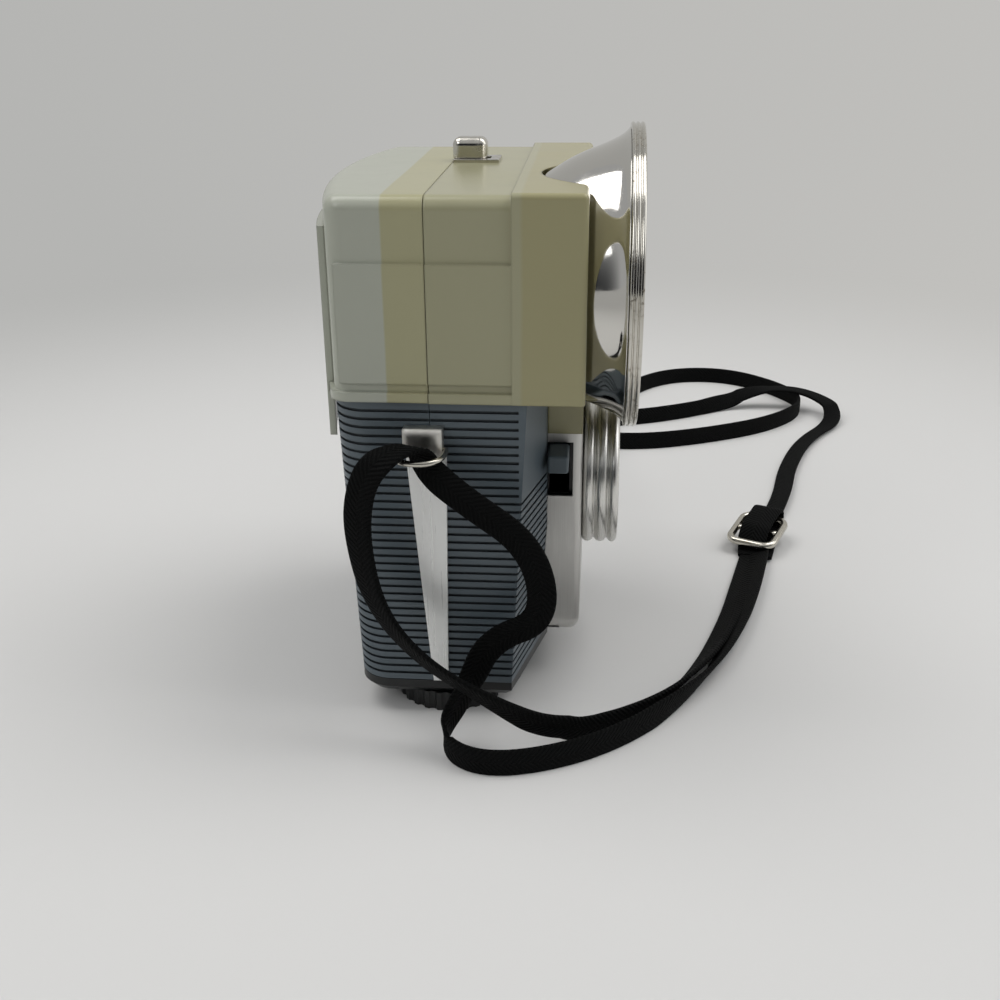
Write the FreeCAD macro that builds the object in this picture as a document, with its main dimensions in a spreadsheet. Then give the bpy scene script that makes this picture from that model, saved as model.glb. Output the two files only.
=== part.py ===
import FreeCAD, Part
import math
import os
import Sketcher
from FreeCAD import Placement, Rotation, Vector

# A snapshot camera for 127 roll film with a flash reflector built into its top.
# Millimetres. X runs across the camera, the lens looks along -Y and Z is up.
# While a piece is drawn, y = 0 is the joint between the front and the swinging
# back, and z = 0 is the table. Finished pieces are then moved along Y, so that
# the origin lies under the middle of the camera.

os.makedirs("parts", exist_ok=True)
doc = FreeCAD.newDocument("film_camera")

SIZES = {
    # Ribbed lower body, tapering down to the base
    "shell_width": 90.0,
    "foot_draw": 2.2,
    "waist_rear": 22.6,
    "foot_rear": 20.4,
    "waist_front": 21.8,
    "foot_front": 17.9,
    "cheek_slope": 0.25,
    "nose_depth": 25.4,
    "body_height": 73.2,
    "wall": 2.0,
    "corner_radius": 8.0,
    "rib_pitch": 2.03,
    "rib_first": 1.7,
    "groove_width": 0.7,
    "groove_depth": 0.6,
    "seam": 0.15,
    # Upper housing, its front block and its chin
    "top_height": 44.9,
    "rear_depth": 23.6,
    "rear_crown": 27.3,
    "arch_radius": 162.0,
    "back_round": 4.0,
    "roof_radius": 3.0,
    "block_out": 1.1,
    "block_start": 18.5,
    "block_front": 34.6,
    "block_lift": 0.8,
    "block_radius": 1.2,
    "panel_lift": 0.7,
    "panel_low": 4.3,
    "panel_high": 30.8,
    "panel_rear": 19.9,
    "lip_lift": 1.0,
    "lip_height": 2.3,
    "chin_height": 15.4,
    "back_plate_drop": 10.6,
    "back_plate_rise": 37.4,
    "back_plate_thick": 1.6,
    # Base, winding knob and spool
    "base_height": 4.2,
    "base_chamfer": 2.0,
    "knob_height": 5.0,
    "knob_gap": 0.2,
    "knob_radius": 13.9,
    "knob_scallops": 26.0,
    "scallop_radius": 1.3,
    "scallop_out": 0.715,
    "foot_radius": 3.0,
    "foot_out": 30.0,
    "foot_apart": 13.0,
    "key_radius": 2.95,
    "shaft_clearance": 0.05,
    "spool_offset": 28.0,
    "spool_back": -1.2,
    "spool_play": 1.75,
    "spool_flange": 10.0,
    "spool_core": 4.8,
    "spool_rim": 1.0,
    "spool_bore": 2.0,
    "key_blade": 1.2,
    "key_blade_width": 5.4,
    "key_blade_height": 3.6,
    "slot_play": 0.25,
    "pin_reach": 7.5,
    # Film chamber
    "gate_floor": 11.1,
    "gate_ceiling": 3.3,
    "gate_plate": 2.0,
    "gate_wing": 15.5,
    "gate_rear": 16.2,
    "gate_frame": 40.0,
    "gate_throat": 10.2,
    "gate_wall": 1.4,
    "plate_gap": 1.0,
    "plate_thick": 0.7,
    "plate_width": 48.0,
    "plate_height": 46.0,
    "spring_thick": 0.4,
    "spring_width": 9.0,
    "spring_span": 28.0,
    "gate_deck": 39.4,
    "gate_deck_front": 13.5,
    "gate_deck_rear": 9.6,
    "window_radius": 4.0,
    "bezel_width": 2.0,
    "bezel_step": 3.2,
    "slide_rail": 40.0,
    "slide_height": 15.0,
    "slide_length": 15.0,
    "slide_thick": 1.0,
    "slide_off": 0.55,
    "slide_play": 0.15,
    # Front panel, shutter and lens
    "front_width": 42.0,
    "front_depth": 34.0,
    "front_low": 2.0,
    "front_skin": 0.8,
    "front_round": 4.5,
    "front_edge": 1.6,
    "case_side_gap": 1.4,
    "case_margin": 1.4,
    "case_back": 23.0,
    "case_wall": 1.4,
    "lens_drop": 32.7,
    "barrel_radius": 19.25,
    "barrel_groove_one": 2.5,
    "barrel_groove_two": 6.0,
    "barrel_front": 43.3,
    "barrel_groove": 1.0,
    "barrel_mouth": 16.6,
    "lens_radius": 7.4,
    "lens_curve": 26.0,
    "bezel_depth": 1.0,
    "aperture_radius": 2.6,
    "shutter_radius": 12.0,
    "shutter_thick": 0.6,
    "blade_radius": 5.0,
    "blade_thick": 0.5,
    "blade_gap": 0.6,
    "pivot_radius": 1.45,
    "blade_pivot_x": 11.0,
    "blade_pivot_drop": 9.9,
    "lever_pivot_x": 10.0,
    "lever_drop": 22.5,
    "lever_hub": 3.0,
    "blade_root_long": 2.4,
    "blade_root_short": 1.8,
    "lever_front": 29.8,
    "lever_thick": 3.0,
    "tab_out": 8.7,
    "tab_round": 0.625,
    "tab_height": 4.5,
    "tab_ahead": 4.0,
    "tab_behind": 1.0,
    "slot_low_drop": 31.9,
    "slot_high_drop": 17.7,
    "smooth_rise": 7.925,
    "slot_front": 31.7,
    # Flash reflector, socket and cells
    "dish_offset": 14.0,
    "dish_height": 21.6,
    "dish_vertex": 7.7,
    "dish_curve": 34.1,
    "dish_wall": 0.8,
    "dish_waist": 41.3,
    "dish_waist_radius": 32.8,
    "dish_end": 43.3,
    "rim_radius": 34.4,
    "rim_front": 46.6,
    "rim_lip": 1.4,
    "rim_foot": 1.54,
    "rim_crown": 0.98,
    "dish_clearance": 0.6,
    "socket_radius": 7.0,
    "socket_bore": 4.75,
    "socket_nose": 16.0,
    "contact_thick": 0.5,
    "contact_radius": 3.0,
    "bulkhead_thick": 1.5,
    "cell_radius": 7.1,
    "cell_length": 49.0,
    "cell_nub": 1.3,
    "cell_nub_radius": 2.485,
    "cell_middle": -5.0,
    "cell_low": 11.0,
    "cell_spacing": 15.2,
    "strip_width": 9.0,
    # Viewfinder
    "finder_offset": 31.0,
    "finder_height": 26.4,
    "finder_width": 15.0,
    "finder_tall": 12.0,
    "finder_wall": 0.8,
    "finder_glass": 1.6,
    "eyepiece_width": 8.0,
    "eyepiece_margin": 3.0,
    "eyepiece_tall": 7.0,
    # Latch and hinge
    "latch_offset": 13.0,
    "latch_length": 8.6,
    "latch_width": 6.4,
    "latch_deck_half": 4.8,
    "latch_height": 5.0,
    "latch_round": 1.9,
    "latch_travel": 3.0,
    "latch_rear": 0.2,
    "latch_stem": 2.0,
    "latch_plate": 0.8,
    "latch_reach": 2.6,
    "catch_drop": 4.5,
    "latch_gap": 0.2,
    "hinge_out": 0.4,
    "hinge_drop": 1.2,
    "hinge_radius": 1.6,
    "hinge_gap": 0.3,
    "hinge_pin": 1.0,
    "hinge_half": 14.0,
    "hinge_middle": 7.8,
    # Side trim, strap lugs, rings and screws
    "trim_drop": 11.95,
    "trim_back": 5.7,
    "trim_front": 3.6,
    "trim_tip_back": 1.3,
    "trim_tip_front": 2.3,
    "trim_thick": 1.0,
    "trim_gap": 0.15,
    "lug_height": 6.6,
    "lug_drop": 11.9,
    "ring_up": 1.6,
    "lug_out": 3.6,
    "lug_back": 5.8,
    "lug_front": 3.0,
    "ring_wire": 0.7,
    "ring_length": 12.0,
    "ring_reach": 7.4,
    # Neck strap
    "strap_tube": 3.0,
    "buckle_wire": 1.1,
    "buckle_corner": 2.6,
    "buckle_bar": 0.9,
    "buckle_length": 20.0,
    "buckle_width": 11.0,
}

sheet = doc.addObject("Spreadsheet::Sheet", "sizes")
for row, (alias, number) in enumerate(SIZES.items(), start=1):
    sheet.set(f"A{row}", alias)
    sheet.set(f"B{row}", str(number))
    sheet.setAlias(f"B{row}", alias)
doc.recompute()


class Size:
    """A length that knows its value and the sheet formula that gives it."""

    def __init__(self, value, text):
        self.value = value
        self.text = text

    def joined(self, other, sign, flip=False):
        other = other if isinstance(other, Size) else Size(float(other), str(other))
        left, right = (other, self) if flip else (self, other)
        results = {
            "+": lambda a, b: a + b,
            "-": lambda a, b: a - b,
            "*": lambda a, b: a * b,
            "/": lambda a, b: a / b,
        }
        return Size(results[sign](left.value, right.value), f"({left.text} {sign} {right.text})")

    def __add__(self, other):
        return self.joined(other, "+")

    def __radd__(self, other):
        return self.joined(other, "+", True)

    def __sub__(self, other):
        return self.joined(other, "-")

    def __rsub__(self, other):
        return self.joined(other, "-", True)

    def __mul__(self, other):
        return self.joined(other, "*")

    def __rmul__(self, other):
        return self.joined(other, "*", True)

    def __truediv__(self, other):
        return self.joined(other, "/")

    def __neg__(self):
        return self.joined(-1, "*")


class Sheet:
    """The driving dimensions by name."""


s = Sheet()
for alias, number in SIZES.items():
    setattr(s, alias, Size(number, f"sizes.{alias}"))

# Levels and half widths that many pieces share
base_z = s.knob_height + s.knob_gap
body_z = base_z + s.base_height
waist_z = body_z + s.body_height
roof_z = waist_z + s.top_height
half = s.shell_width / 2
foot_half = half - s.foot_draw
lens_z = waist_z - s.lens_drop
dish_z = waist_z + s.dish_height
finder_z = waist_z + s.finder_height
gate_low = body_z + s.gate_floor
origin_shift = (s.rim_front - s.rear_crown - s.back_plate_thick) / 2
gate_in = gate_low + s.gate_plate
gate_top = waist_z - s.gate_ceiling - s.gate_plate
gate_room = gate_top - gate_in
cheek_run = s.waist_front - s.foot_front + s.cheek_slope * (half - foot_half)
cheek_steep = Size(math.hypot(1, s.cheek_slope.value), "sqrt(1 + sizes.cheek_slope * sizes.cheek_slope)")
side_lean = (half - foot_half) / s.body_height
side_turn = Size(-math.degrees(math.atan(side_lean.value)), f"-atan({side_lean.text})")
cheek_turn = Size(-math.degrees(math.atan(s.cheek_slope.value)), "-atan(sizes.cheek_slope)")
none = s.wall * 0

finished = []


def bind(thing, path, size):
    """Tie one property to the sheet, or set a plain number."""
    if isinstance(size, Size):
        thing.setExpression(path, size.text)
    else:
        thing.setExpression(path, str(float(size)))


def place(thing, x, y, z):
    for letter, size in zip("xyz", (x, y, z)):
        bind(thing, f"Placement.Base.{letter}", size)


TURNS = {"x": Rotation(Vector(0, 1, 0), 90), "y": Rotation(Vector(1, 0, 0), -90), "z": Rotation()}


def box(name, x, y, z):
    """A block between two corners, given as (low, high) along each axis."""
    thing = doc.addObject("Part::Box", name)
    for path, (low, high) in zip(("Length", "Width", "Height"), (x, y, z)):
        bind(thing, path, high - low)
    place(thing, x[0], y[0], z[0])
    return thing


def rod(name, axis, start, radius, length):
    """A cylinder that runs from its start point along +axis."""
    thing = doc.addObject("Part::Cylinder", name)
    bind(thing, "Radius", radius)
    bind(thing, "Height", length)
    thing.Placement = Placement(Vector(), TURNS[axis])
    place(thing, *start)
    return thing


def fuse(name, *things):
    joined = doc.addObject("Part::MultiFuse", name)
    joined.Shapes = list(things)
    return joined


def group(name, *things):
    grouped = doc.addObject("Part::Compound", name)
    grouped.Links = list(things)
    return grouped


def cut(name, base, *tools):
    """The base with every tool taken away."""
    for number, tool in enumerate(tools):
        last = number == len(tools) - 1
        step = doc.addObject("Part::Cut", name if last else f"{name}_step")
        step.Base = base
        step.Tool = tool
        base = step
    return base


def common(name, one, other):
    shared = doc.addObject("Part::Common", name)
    shared.Base = one
    shared.Tool = other
    return shared


def rounded(name, base, radius, picked):
    """A fillet on the edges whose two ends pass the test."""
    doc.recompute()
    edges = []
    for number, edge in enumerate(base.Shape.Edges, start=1):
        ends = [vertex.Point for vertex in edge.Vertexes]
        if len(ends) == 2 and picked(ends[0], ends[1]):
            edges.append((number, radius.value, radius.value))
    fillet = doc.addObject("Part::Fillet", name)
    fillet.Base = base
    fillet.Edges = edges
    return fillet


def along(axis, **limits):
    """An edge test: the edge runs along one axis and lies at the given places."""
    def test(one, other):
        step = other - one
        others = [abs(getattr(step, letter)) for letter in "xyz" if letter != axis]
        if max(others) > 1e-6:
            return False
        for letter, size in limits.items():
            places = size if isinstance(size, (tuple, list)) else (size,)
            near = [abs(getattr(one, letter) - place.value) < 1e-4 for place in places]
            if not any(near):
                return False
        return True
    return test


def body(name):
    return doc.addObject("PartDesign::Body", name)


def outline(owner, name, plane, points, offset=None):
    """A closed sketch of straight sides whose corners are tied to the sheet."""
    sketch = owner.newObject("Sketcher::SketchObject", name)
    support = [item for item in owner.Origin.OriginFeatures if item.Role == plane][0]
    sketch.AttachmentSupport = [(support, "")]
    sketch.MapMode = "FlatFace"
    if offset is not None:
        bind(sketch, "AttachmentOffset.Base.z", offset)
    corners = [Vector(float(getattr(u, "value", u)), float(getattr(v, "value", v)), 0) for u, v in points]
    count = len(corners)
    for index in range(count):
        sketch.addGeometry(Part.LineSegment(corners[index], corners[(index + 1) % count]), False)
    for index in range(count):
        sketch.addConstraint(Sketcher.Constraint("Coincident", index, 2, (index + 1) % count, 1))
    for index, (u, v) in enumerate(points):
        for kind, size, number in (("DistanceX", u, corners[index].x), ("DistanceY", v, corners[index].y)):
            constraint = sketch.addConstraint(Sketcher.Constraint(kind, -1, 1, index, 1, number))
            if isinstance(size, Size):
                sketch.setExpression(f"Constraints[{constraint}]", size.text)
    return sketch


def padded(name, plane, points, offset, length, reverse=False):
    """A body made by padding one outline."""
    owner = body(name)
    pad = owner.newObject("PartDesign::Pad", f"{name}_pad")
    pad.Profile = outline(owner, f"{name}_outline", plane, points, offset)
    bind(pad, "Length", length)
    pad.Reversed = reverse
    return owner


def softened(owner, name, kind, size, picked):
    """A fillet or chamfer on the body's last feature."""
    doc.recompute()
    base = owner.Tip
    names = []
    for number, edge in enumerate(base.Shape.Edges, start=1):
        ends = [vertex.Point for vertex in edge.Vertexes]
        if len(ends) == 2 and picked(ends[0], ends[1]):
            names.append(f"Edge{number}")
    feature = owner.newObject(f"PartDesign::{kind}", name)
    feature.Base = (base, names)
    bind(feature, "Radius" if kind == "Fillet" else "Size", size)
    return owner


def turned(name, points, height, across=None):
    """A body of revolution about an axis along Y, from (radius, y) corners."""
    owner = body(name)
    spin = owner.newObject("PartDesign::Revolution", f"{name}_spin")
    sketch = outline(owner, f"{name}_profile", "XY_Plane", points)
    spin.Profile = sketch
    spin.ReferenceAxis = (sketch, ["V_Axis"])
    spin.Angle = 360
    if across is not None:
        bind(owner, "Placement.Base.x", across)
    bind(owner, "Placement.Base.z", height)
    return owner


def finish(label, thing, shifted=True):
    """Name a finished piece and move it into the camera's own frame."""
    if shifted:
        base = thing
        old = [entry for entry in base.ExpressionEngine if entry[0].endswith("Placement.Base.y")]
        text = origin_shift.text if not old else f"({old[0][1]}) + {origin_shift.text}"
        base.setExpression("Placement.Base.y", text)
    thing.Label = label
    finished.append(thing)
    return thing


def mirrored(name, thing):
    """The same piece on the other side of the camera."""
    twin = doc.addObject("Part::Mirroring", name)
    twin.Source = thing
    twin.Normal = Vector(1, 0, 0)
    return twin


# Outline of the flash bowl, and the room that the pieces around it leave for it

def bowl_y(radius):
    return -s.dish_vertex - radius * radius / s.dish_curve


bowl_start = s.socket_radius - 1
bowl_steps = 8
bowl_top = s.dish_waist_radius - s.rim_lip / 2
outer_bowl = []
for number in range(bowl_steps + 1):
    radius = bowl_start + (bowl_top - bowl_start) * (number / bowl_steps)
    outer_bowl.append((radius, bowl_y(radius)))
outer_bowl.append((s.dish_waist_radius, -s.dish_waist))
outer_bowl.append((s.rim_radius - s.rim_lip / 4, -s.dish_end))
wall = s.dish_wall
WALL_ACROSS = 0.45
WALL_ALONG = 0.9
inner_bowl = [(radius - wall * (WALL_ACROSS if number > 0 else 0), y - wall * WALL_ALONG)
              for number, (radius, y) in enumerate(outer_bowl)]
inner_bowl[-1] = (outer_bowl[-1][0] - wall, outer_bowl[-1][1])
inner_bowl[-2] = (outer_bowl[-2][0] - wall, outer_bowl[-2][1])
clear = s.dish_clearance
bowl_way = [(none, bowl_y(none) + clear * 2), (bowl_start + clear, bowl_y(bowl_start) + clear * 2)]
bowl_way += [(radius + clear, y + clear) for radius, y in outer_bowl[1:]]
bowl_way.append((outer_bowl[-1][0] + clear, -s.shell_width))
bowl_way.append((none, -s.shell_width))
dish_way = turned("dish_way_body", bowl_way, dish_z, -s.dish_offset)

# Ribbed lower body: two tapered halves that meet at the joint. Every outer face
# leans outward from the foot to the waist.

def leaning_block(name, low_x, high_x, low_y, high_y, z):
    """A block whose plan changes from its low end to its high end."""
    thing = doc.addObject("Part::Wedge", name)
    for path, size in (
            ("Xmin", low_x[0]), ("Xmax", low_x[1]), ("Zmin", -low_y[1]), ("Zmax", -low_y[0]),
            ("X2min", high_x[0]), ("X2max", high_x[1]), ("Z2min", -high_y[1]), ("Z2max", -high_y[0]),
            ("Ymin", z[0]), ("Ymax", z[1])):
        bind(thing, path, size)
    thing.Placement = Placement(Vector(), Rotation(Vector(1, 0, 0), 90))
    return thing


def front_half(name, inset):
    """The front half of the lower body, drawn in by an inset on its outer faces."""
    low_side = foot_half - inset
    high_side = half - inset
    deep = (inset - s.nose_depth, none)
    blank = leaning_block(f"{name}_blank", (-low_side, low_side), (-high_side, high_side), deep, deep,
                          (body_z, waist_z))
    reach = s.shell_width
    cheek = group(f"{name}_cheek", leaning_block(
        f"{name}_cheek_block", (-reach, reach), (-reach, reach),
        (-reach, inset), (-reach, inset - cheek_run / cheek_steep), (body_z, waist_z)))
    cheek.Placement = Placement(Vector(), Rotation(Vector(0, 0, 1), -1))
    cheek.setExpression("Placement.Rotation.Angle", cheek_turn.text)
    place(cheek, -foot_half, -s.foot_front, none)
    return cut(name, blank, cheek, mirrored(f"{name}_far_cheek", cheek))


def rear_half(name, inset, start, low):
    """The back half of the lower body, with its large rounded corners."""
    low_side = foot_half - inset
    high_side = half - inset
    leaning = leaning_block(
        f"{name}_block", (-low_side, low_side), (-high_side, high_side),
        (-s.shell_width, s.foot_rear - inset), (-s.shell_width, s.waist_rear - inset), (body_z, waist_z))
    corners = rounded(f"{name}_corners", leaning, s.corner_radius - inset,
                      lambda one, other: abs(one.z - other.z) > 1 and min(one.y, other.y) > 1)
    return common(name, corners, box(f"{name}_room", (-s.shell_width, s.shell_width), (start, s.shell_width),
                                     (low, waist_z)))


rib_count = int((s.body_height - s.rib_first).value // s.rib_pitch.value)


def groove_slabs(name, y):
    """Thin flat slabs, one at the height of each groove."""
    slabs = []
    for number in range(rib_count):
        low = body_z + s.rib_first + s.rib_pitch * number
        slabs.append(box(f"{name}_{number}", (-s.shell_width, s.shell_width), y, (low, low + s.groove_width)))
    return group(name, *slabs)


slot_z = (waist_z - s.slot_low_drop, waist_z - s.slot_high_drop)
smooth_low = slot_z[0] + s.smooth_rise
front_grooves = cut(
    "front_groove_rings",
    groove_slabs("front_slabs", (-s.shell_width, none)),
    front_half("front_groove_core", s.groove_depth),
    box("smooth_cheek", (-s.shell_width, -s.front_width / 2), (-s.shell_width, -s.foot_front - s.wall),
        (smooth_low, waist_z)),
)
case_low = body_z + s.front_low + s.case_margin
case_high = waist_z - s.chin_height - s.case_margin
case_half = s.front_width / 2 - s.front_skin - s.case_side_gap
case_play = s.case_margin / 5
front_solid = front_half("front_outer", none)
finish("front_body", cut(
    "front_body_shape",
    front_solid,
    front_half("front_hollow", s.wall),
    front_grooves,
    box("case_way", (-case_half - case_play, case_half + case_play),
        (-s.nose_depth - s.wall, -s.nose_depth + s.wall * 2), (case_low - case_play, case_high + case_play)),
    dish_way,
))

hinge_y = s.foot_rear + s.hinge_out
hinge_z = body_z - s.hinge_drop
lens_back = s.foot_rear + (s.waist_rear - s.foot_rear) * (lens_z - body_z) / s.body_height
rear_grooves = cut(
    "rear_groove_rings",
    groove_slabs("rear_slabs", (none, s.shell_width)),
    rear_half("rear_groove_core", s.groove_depth, none - s.wall, body_z),
    box("rear_smooth", (-s.slide_rail / 2, s.slide_rail / 2), (none, s.shell_width),
        (lens_z - s.slide_height, lens_z + s.slide_height)),
)
window_hole = s.window_radius + s.bezel_width
rail_low = lens_z - s.slide_height / 2 - s.slide_play
rail_high = lens_z + s.slide_height / 2 + s.slide_play
slide_y = lens_back + s.slide_off
rail_y = slide_y + s.slide_thick + s.slide_play
rear_solid = rear_half("rear_outer", none, s.seam, body_z + s.seam)
finish("rear_body", cut(
    "rear_body_shape",
    fuse(
        "rear_with_fittings",
        cut("rear_shell", rear_solid, rear_half("rear_hollow", s.wall, none - s.wall, body_z), rear_grooves),
        rod("knuckle_round", "x", (-s.hinge_middle, hinge_y, hinge_z), s.hinge_radius, s.hinge_middle * 2),
        box("knuckle_root", (-s.hinge_middle, s.hinge_middle), (hinge_y - s.hinge_radius, hinge_y),
            (hinge_z, body_z + s.wall)),
        box("rail_low", (-s.slide_rail / 2, s.slide_rail / 2), (lens_back - s.wall / 2, rail_y),
            (rail_low - s.wall, rail_low)),
        box("rail_high", (-s.slide_rail / 2, s.slide_rail / 2), (lens_back - s.wall / 2, rail_y),
            (rail_high, rail_high + s.wall)),
        box("rail_low_lip", (-s.slide_rail / 2, s.slide_rail / 2), (rail_y, rail_y + s.slide_thick),
            (rail_low - s.wall, rail_low + s.slide_thick)),
        box("rail_high_lip", (-s.slide_rail / 2, s.slide_rail / 2), (rail_y, rail_y + s.slide_thick),
            (rail_high - s.slide_thick, rail_high + s.wall)),
    ),
    rod("knuckle_bore", "x", (-s.hinge_half * 2, hinge_y, hinge_z), s.hinge_pin + s.shaft_clearance,
        s.hinge_half * 4),
    rod("window_way", "y", (none, s.foot_rear - s.wall * 2, lens_z), window_hole, s.wall * 4),
    box("slide_way", (-s.slide_rail, s.slide_rail), (slide_y - s.slide_play, rail_y),
        (rail_low, rail_high)),
    rod("ear_way_near", "x", (-s.hinge_half - s.hinge_gap, hinge_y, hinge_z), s.hinge_radius + s.hinge_gap,
        s.hinge_half - s.hinge_middle + s.hinge_gap),
    rod("ear_way_far", "x", (s.hinge_middle, hinge_y, hinge_z), s.hinge_radius + s.hinge_gap,
        s.hinge_half - s.hinge_middle + s.hinge_gap),
))

# Small red window in the back, its sliding cover, and the plate that presses the film flat
finish("film_window", rod(
    "window_disc", "y", (none, lens_back - s.wall, lens_z), window_hole, s.wall + s.slide_off / 2))
finish("window_slide", fuse(
    "slide_shape",
    box("slide_leaf", (-s.slide_length / 2, s.slide_length / 2), (slide_y, slide_y + s.slide_thick),
        (rail_low + s.slide_play, rail_high - s.slide_play)),
    box("slide_grip", (-s.slide_thick, s.slide_thick),
        (slide_y + s.slide_thick, slide_y + s.slide_thick * 3),
        (lens_z - s.slide_height / 4, lens_z + s.slide_height / 4)),
))
plate_y = s.gate_rear + s.plate_gap
finish("pressure_plate", cut(
    "pressure_plate_shape",
    box("pressure_leaf", (-s.plate_width / 2, s.plate_width / 2), (plate_y, plate_y + s.plate_thick),
        (lens_z - s.plate_height / 2, lens_z + s.plate_height / 2)),
    rod("pressure_hole", "y", (none, plate_y - s.plate_thick, lens_z), s.window_radius, s.plate_thick * 3),
))
spring_z = lens_z - s.spring_span / 2
spring_low_y = plate_y + s.plate_thick
crest_z = lens_z - s.spring_width / 2
crest_y = s.foot_rear - s.wall + (s.waist_rear - s.foot_rear) * (lens_z - body_z - s.spring_width / 2) / s.body_height
bow = [
    (spring_low_y, spring_z), (spring_low_y + s.spring_thick, spring_z), (crest_y, crest_z),
    (crest_y, crest_z + s.spring_width), (spring_low_y + s.spring_thick, spring_z + s.spring_span),
    (spring_low_y, spring_z + s.spring_span), (crest_y - s.spring_thick, crest_z + s.spring_width),
    (crest_y - s.spring_thick, crest_z),
]
near_bow = padded("near_bow", "YZ_Plane", bow, window_hole + s.wall, s.spring_width / 2)
finish("pressure_spring", fuse(
    "pressure_spring_shape",
    near_bow,
    mirrored("far_bow", near_bow),
    box("spring_tie", (-window_hole - s.wall * 2, window_hole + s.wall * 2),
        (spring_low_y, spring_low_y + s.spring_thick), (spring_z, spring_z + s.wall)),
))

# Base plate with its bevelled rim, the feet, the hinge ears and their pin
nose_half = foot_half - (s.nose_depth - s.foot_front) / s.cheek_slope
base = padded("base_blank", "XY_Plane", [
    (-foot_half, s.foot_rear), (-foot_half, -s.foot_front), (-nose_half, -s.nose_depth),
    (nose_half, -s.nose_depth), (foot_half, -s.foot_front), (foot_half, s.foot_rear),
], base_z, s.base_height)
softened(base, "base_corners", "Fillet", s.corner_radius,
         along("z", y=s.foot_rear))
softened(base, "base_bevel", "Chamfer", s.base_chamfer,
         lambda one, other: abs(one.z - base_z.value) < 1e-4 and abs(other.z - base_z.value) < 1e-4)
knob_x = -s.spool_offset
feet = [
    rod(f"foot_{number}", "z", (s.foot_out, y, none), s.foot_radius, base_z + s.base_height / 2)
    for number, y in enumerate((-s.foot_apart, s.foot_apart))
]
ear_length = s.hinge_half - s.hinge_middle - s.seam
ear_near = (-s.hinge_half, -s.hinge_half + ear_length)
ear_far = (s.hinge_half - ear_length, s.hinge_half)
finish("base_plate", cut(
    "base_shape",
    fuse(
        "base_with_ears",
        cut("base_notched", base, box(
            "knuckle_notch", (-s.hinge_middle - s.seam, s.hinge_middle + s.seam),
            (hinge_y - s.hinge_radius - s.hinge_gap, s.shell_width), (none, body_z + s.wall))),
        rod("ear_near", "x", (ear_near[0], hinge_y, hinge_z), s.hinge_radius, ear_length),
        rod("ear_far", "x", (ear_far[0], hinge_y, hinge_z), s.hinge_radius, ear_length),
        box("ear_near_root", ear_near, (hinge_y - s.hinge_radius * 2, hinge_y), (hinge_z - s.hinge_radius, hinge_z)),
        box("ear_far_root", ear_far, (hinge_y - s.hinge_radius * 2, hinge_y), (hinge_z - s.hinge_radius, hinge_z)),
        *feet,
    ),
    rod("ear_bore", "x", (-s.shell_width, hinge_y, hinge_z), s.hinge_pin, s.shell_width * 2),
    rod("key_hole", "z", (knob_x, s.spool_back, none), s.key_radius + s.shaft_clearance, body_z * 2),
))
finish("hinge_pin", rod("hinge_pin_shape", "x", (-s.hinge_half, hinge_y, hinge_z), s.hinge_pin, s.hinge_half * 2))

# Winding knob with a scalloped rim, its key, and the take-up spool
scallops = []
scallop_count = int(s.knob_scallops.value)
for number in range(scallop_count):
    turn = f"(360 / sizes.knob_scallops * {number})"
    angle = math.radians(360 / s.knob_scallops.value * number)
    reach = s.knob_radius + s.scallop_out
    step_x = Size(math.cos(angle), f"cos({turn})")
    step_y = Size(math.sin(angle), f"sin({turn})")
    scallops.append(rod(
        f"scallop_{number}", "z", (knob_x + reach * step_x, s.spool_back + reach * step_y, -s.wall),
        s.scallop_radius, s.knob_height * 2))
finish("winding_knob", cut(
    "knob_shape",
    rod("knob_disc", "z", (knob_x, s.spool_back, none), s.knob_radius, s.knob_height),
    group("knob_scallop_cuts", *scallops),
    rod("knob_socket", "z", (knob_x, s.spool_back, s.wall), s.key_radius, s.knob_height),
))
spool_low = gate_in + s.spool_play
spool_length = gate_room - s.spool_play * 2
finish("winding_key", fuse(
    "key_shape",
    rod("key_shaft", "z", (knob_x, s.spool_back, s.wall), s.key_radius, gate_in - s.wall),
    box("key_blade_leaf", (knob_x - s.key_blade_width / 2, knob_x + s.key_blade_width / 2),
        (s.spool_back - s.key_blade / 2, s.spool_back + s.key_blade / 2),
        (gate_in, spool_low + s.key_blade_height)),
))
finish("takeup_spool", cut(
    "spool_shape",
    fuse(
        "spool_solid",
        rod("spool_core_rod", "z", (knob_x, s.spool_back, spool_low), s.spool_core, spool_length),
        rod("spool_low_flange", "z", (knob_x, s.spool_back, spool_low), s.spool_flange, s.spool_rim),
        rod("spool_high_flange", "z", (knob_x, s.spool_back, spool_low + spool_length - s.spool_rim),
            s.spool_flange, s.spool_rim),
    ),
    rod("spool_hole", "z", (knob_x, s.spool_back, spool_low - s.wall), s.spool_bore, spool_length * 2),
    box("spool_slot", (knob_x - s.key_blade_width / 2 - s.slot_play, knob_x + s.key_blade_width / 2 + s.slot_play),
        (s.spool_back - s.key_blade / 2 - s.slot_play, s.spool_back + s.key_blade / 2 + s.slot_play),
        (spool_low - s.wall, spool_low + s.key_blade_height + s.slot_play * 2)),
))
pin_length = s.spool_play + s.pin_reach
pin_radius = s.spool_bore - s.shaft_clearance
finish("spool_pins", group(
    "pins_shape",
    rod("takeup_pin", "z", (knob_x, s.spool_back, gate_top - pin_length), pin_radius, pin_length),
    rod("supply_high_pin", "z", (-knob_x, s.spool_back, gate_top - pin_length), pin_radius, pin_length),
    rod("supply_low_pin", "z", (-knob_x, s.spool_back, gate_in), pin_radius, pin_length),
))


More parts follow.
